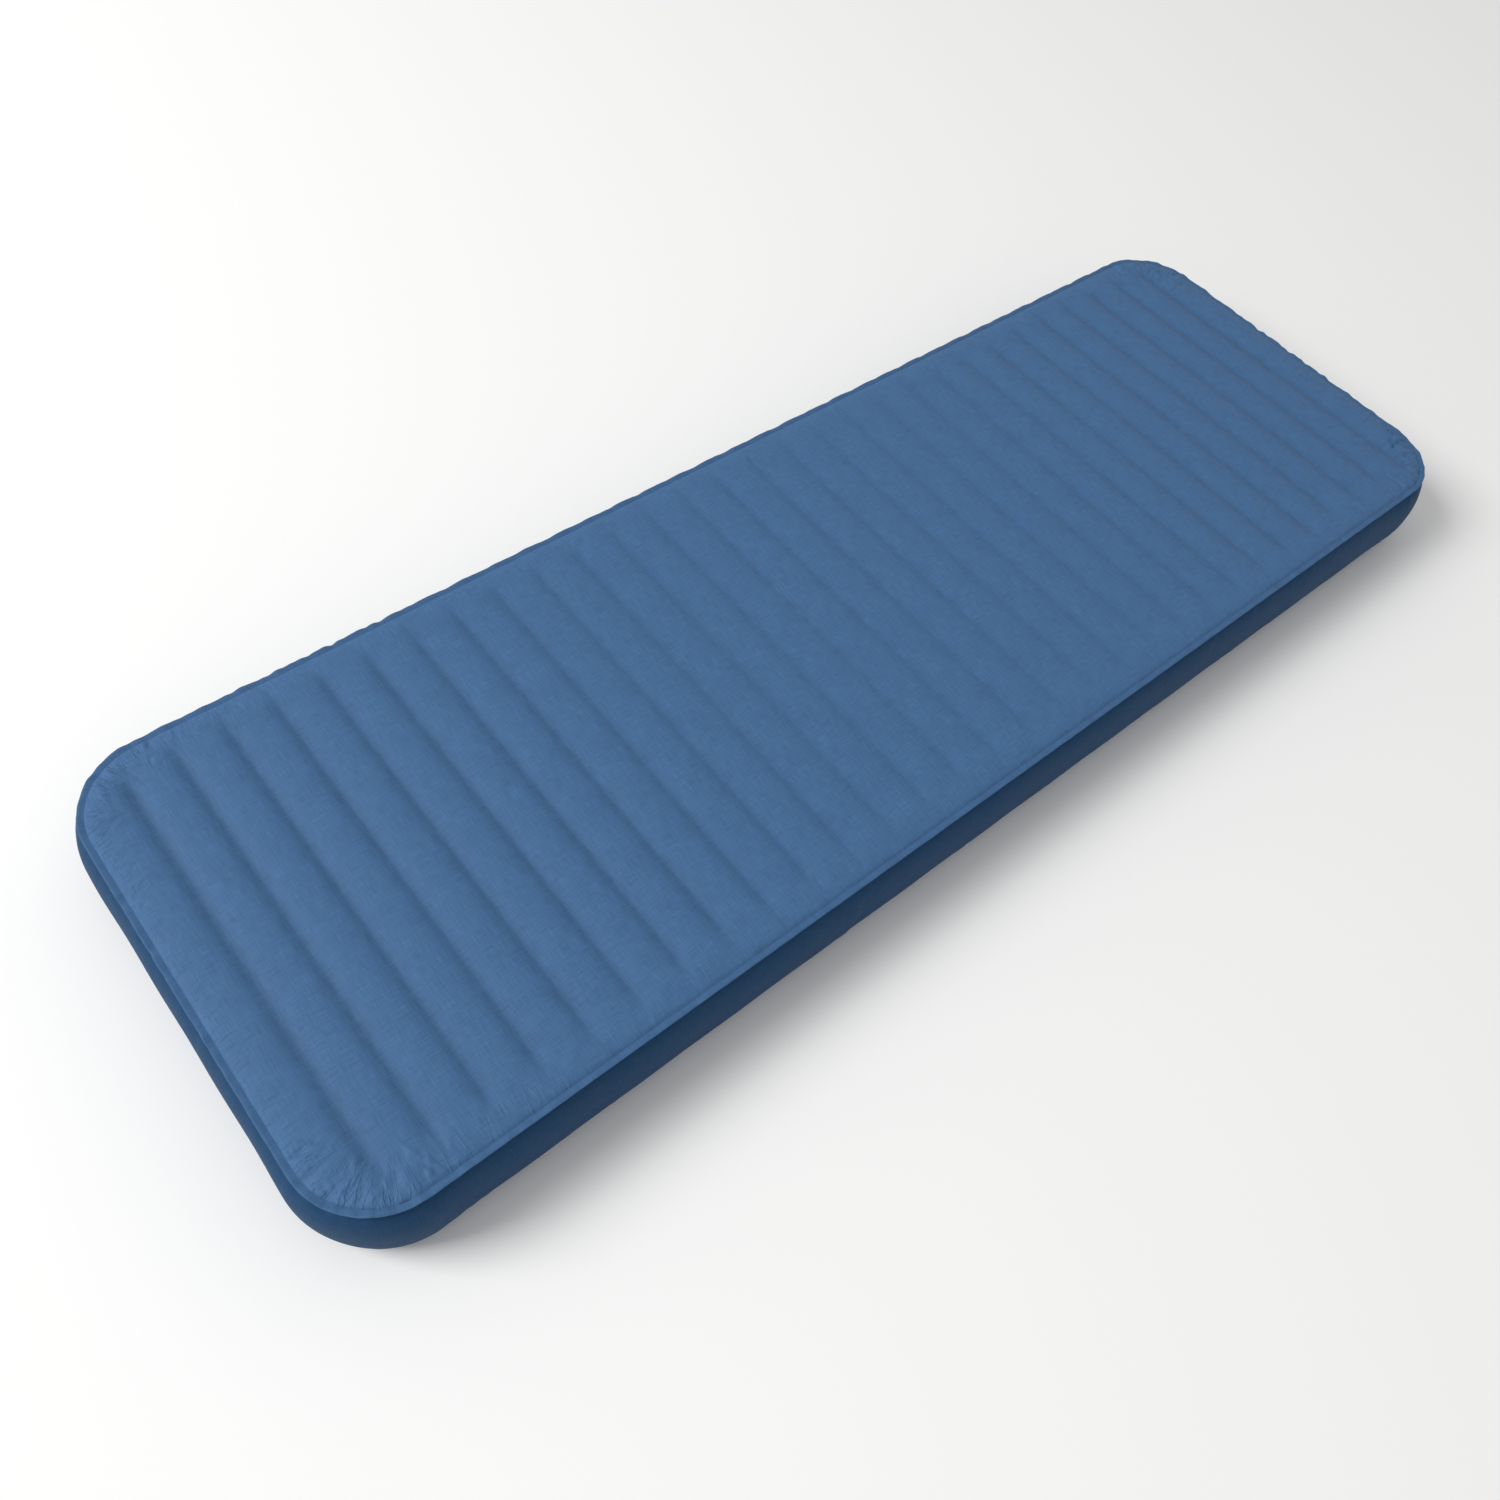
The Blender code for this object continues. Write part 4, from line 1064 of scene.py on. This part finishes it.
def perforation_tree():
    """Geometry nodes: rings of round holes about a middle one, cut through a disc."""
    tree = bpy.data.node_groups.new("screen_perforations", "GeometryNodeTree")
    tree.interface.new_socket("Disc", in_out="INPUT", socket_type="NodeSocketGeometry")
    for size in ("Hole Pitch", "Hole Radius", "Disc Height"):
        tree.interface.new_socket(size, in_out="INPUT", socket_type="NodeSocketFloat")
    tree.interface.new_socket("Plastic", in_out="INPUT", socket_type="NodeSocketMaterial")
    tree.interface.new_socket("Screen", in_out="OUTPUT", socket_type="NodeSocketGeometry")
    given = add_node(tree, "NodeGroupInput").outputs
    centres = [add_node(tree, "GeometryNodePoints").outputs["Points"]]
    for ring in (1, 2, 3):
        reach = add_node(tree, "ShaderNodeMath", [(given["Hole Pitch"], 0)],
                         operation="MULTIPLY", inputs={1: ring})
        circle = add_node(tree, "GeometryNodeMeshCircle", [(reach.outputs[0], "Radius")],
                          inputs={"Vertices": 6 * ring})
        centres.append(circle.outputs["Mesh"])
    places = add_node(tree, "GeometryNodeJoinGeometry", [(source, "Geometry") for source in centres])
    drill = add_node(tree, "GeometryNodeMeshCylinder", [(given["Hole Radius"], "Radius")],
                     inputs={"Vertices": 14, "Depth": 3.0})
    drills = add_node(tree, "GeometryNodeInstanceOnPoints", [
        (places.outputs["Geometry"], "Points"), (drill.outputs["Mesh"], "Instance")])
    lift = add_node(tree, "ShaderNodeCombineXYZ", [(given["Disc Height"], "Z")])
    raised = add_node(tree, "GeometryNodeTranslateInstances", [
        (drills.outputs["Instances"], "Instances"), (lift.outputs["Vector"], "Translation")])
    real = add_node(tree, "GeometryNodeRealizeInstances", [(raised.outputs["Instances"], "Geometry")])
    holed = add_node(tree, "GeometryNodeMeshBoolean", [(given["Disc"], "Mesh 1"),
                                                       (real.outputs["Geometry"], "Mesh 2")],
                     operation="DIFFERENCE")
    dressed = add_node(tree, "GeometryNodeSetMaterial", [(holed.outputs["Mesh"], "Geometry"),
                                                         (given["Plastic"], "Material")])
    add_node(tree, "NodeGroupOutput", [(dressed.outputs["Geometry"], "Screen")])
    return tree


def make_screen(prefix, perforations):
    """Thin disc with a rounded rim and 37 holes."""
    screen = turned_piece(prefix + "_perforated_screen", [
        (0, SCREEN_BACK), (SCREEN_RADIUS - 0.15, SCREEN_BACK), (SCREEN_RADIUS, SCREEN_BACK + 0.15),
        (SCREEN_RADIUS, SCREEN_FRONT - 0.15), (SCREEN_RADIUS - 0.15, SCREEN_FRONT),
        (0, SCREEN_FRONT)])
    apply_nodes(screen, perforations, {
        "Hole Pitch": 3.1, "Hole Radius": 1.05,
        "Disc Height": 0.5 * (SCREEN_BACK + SCREEN_FRONT), "Plastic": body_plastic})
    finish_valve_piece(screen, prefix, "_valve", "_valve_screen", body_plastic)


def make_seat():
    """Ring with a rounded sealing edge, three spokes and a drilled hub."""
    seat = turned_piece("inflate_spoked_seat", [
        (9.7, SEAT_BACK), (12.0, SEAT_BACK), (12.2, SEAT_BACK + 0.2), (12.2, SEAT_FRONT - 0.2),
        (12.0, SEAT_FRONT), (9.8, SEAT_FRONT), (9.5, SEAT_FRONT - 0.3), (9.5, SEAT_BACK + 0.2)])
    for number in range(3):
        spoke = rounded_bar("spoke", (0.5, -0.8, SEAT_BACK + 0.2), (10.5, 0.8, SEAT_FRONT - 0.2), 0.15)
        spoke.data.transform(Matrix.Rotation(math.radians(90 + 120 * number), 4, "Z"))
        combine(seat, spoke, "UNION")
    boss = turned_piece("boss", [
        (0, SEAT_BACK), (HUB_RADIUS - 0.2, SEAT_BACK), (HUB_RADIUS, SEAT_BACK + 0.2),
        (HUB_RADIUS, SEAT_FRONT - 0.2), (HUB_RADIUS - 0.2, SEAT_FRONT), (0, SEAT_FRONT)])
    combine(seat, boss, "UNION")
    drill = turned_piece("drill", [(0, SEAT_BACK - 1), (STEM_HOLE, SEAT_BACK - 1),
                                   (STEM_HOLE, SEAT_FRONT + 1), (0, SEAT_FRONT + 1)])
    combine(seat, drill, "DIFFERENCE")
    finish_valve_piece(seat, "inflate", "_valve", "_valve_seat", body_plastic)


def make_flap():
    """Umbrella flap: a disc that thins to its edge, on a stem with a bead."""
    flap = turned_piece("inflate_umbrella_flap", [
        (0, FLAP_FACE - 0.8), (3.0, FLAP_FACE - 0.8), (9.5, FLAP_FACE - 0.45),
        (10.4, FLAP_FACE - 0.3), (10.5, FLAP_FACE - 0.15), (10.4, FLAP_FACE),
        (1.5, FLAP_FACE), (1.0, FLAP_FACE + 0.4), (1.0, BEAD), (1.3, BEAD + 0.2),
        (1.8, BEAD + 0.4), (1.8, BEAD + 1.0), (1.5, BEAD + 1.4), (0.8, BEAD + 1.75),
        (0, BEAD + 1.8)])
    finish_valve_piece(flap, "inflate", "_flap", "_valve_flap", flap_silicone)


screen_holes = perforation_tree()
for valve in VALVE_SIDES:
    make_screen(valve, screen_holes)
make_seat()
make_flap()


# ---- Floor, light and camera -----------------------------------------------------------
# A pale plain floor, a large soft key light over the end without valves and the back, and
# a weak even light from all round.

def make_floor():
    """A wide plain floor that the mattress lies on."""
    mesh = bpy.data.meshes.new("floor")
    reach = 30.0
    mesh.from_pydata([(-reach, -reach, 0), (reach, -reach, 0), (reach, reach, 0), (-reach, reach, 0)],
                     [], [(0, 1, 2, 3)])
    floor = in_scene(mesh)
    made, tree, output = new_material("pale_studio_floor")
    shader = add_node(tree, "ShaderNodeBsdfPrincipled")
    shader.inputs["Base Color"].default_value = linear("#FAFAF9")
    shader.inputs["Roughness"].default_value = 0.9
    tree.links.new(shader.outputs["BSDF"], output.inputs["Surface"])
    mesh.materials.append(made)


def add_area_light(name, place, aim, size, power):
    """A soft rectangular light pointed at a place."""
    data = bpy.data.lights.new(name, "AREA")
    data.size = size
    data.energy = power
    light = bpy.data.objects.new(name, data)
    light.location = place
    light.rotation_euler = (Vector(aim) - Vector(place)).to_track_quat("-Z", "Y").to_euler()
    bpy.context.scene.collection.objects.link(light)


make_floor()
add_area_light("key", (-6.4, 3.6, 6.2), (0, 0, 0.1), 4.2, 680)
world = bpy.data.worlds.new("studio")
world.use_nodes = True
world.node_tree.nodes["Background"].inputs["Color"].default_value = (1, 1, 1, 1)
world.node_tree.nodes["Background"].inputs["Strength"].default_value = 0.5
bpy.context.scene.world = world
bpy.context.scene.view_settings.view_transform = "Standard"

CAMERA_PLACE = Vector((-0.9656, -0.6864, 1.4316))
CAMERA_AIM = Vector((-0.2936, -0.1016, 0.117))
CAMERA_ROLL = math.radians(11.66)
camera_data = bpy.data.cameras.new("camera")
camera_data.lens = 30.52
camera_data.sensor_width = 36.0
camera = bpy.data.objects.new("camera", camera_data)
looking = (CAMERA_AIM - CAMERA_PLACE).to_track_quat("-Z", "Y").to_matrix().to_4x4()
rolled = looking @ Matrix.Rotation(CAMERA_ROLL, 4, "Z")
camera.matrix_world = Matrix.Translation(CAMERA_PLACE) @ rolled
bpy.context.scene.collection.objects.link(camera)
bpy.context.scene.camera = camera
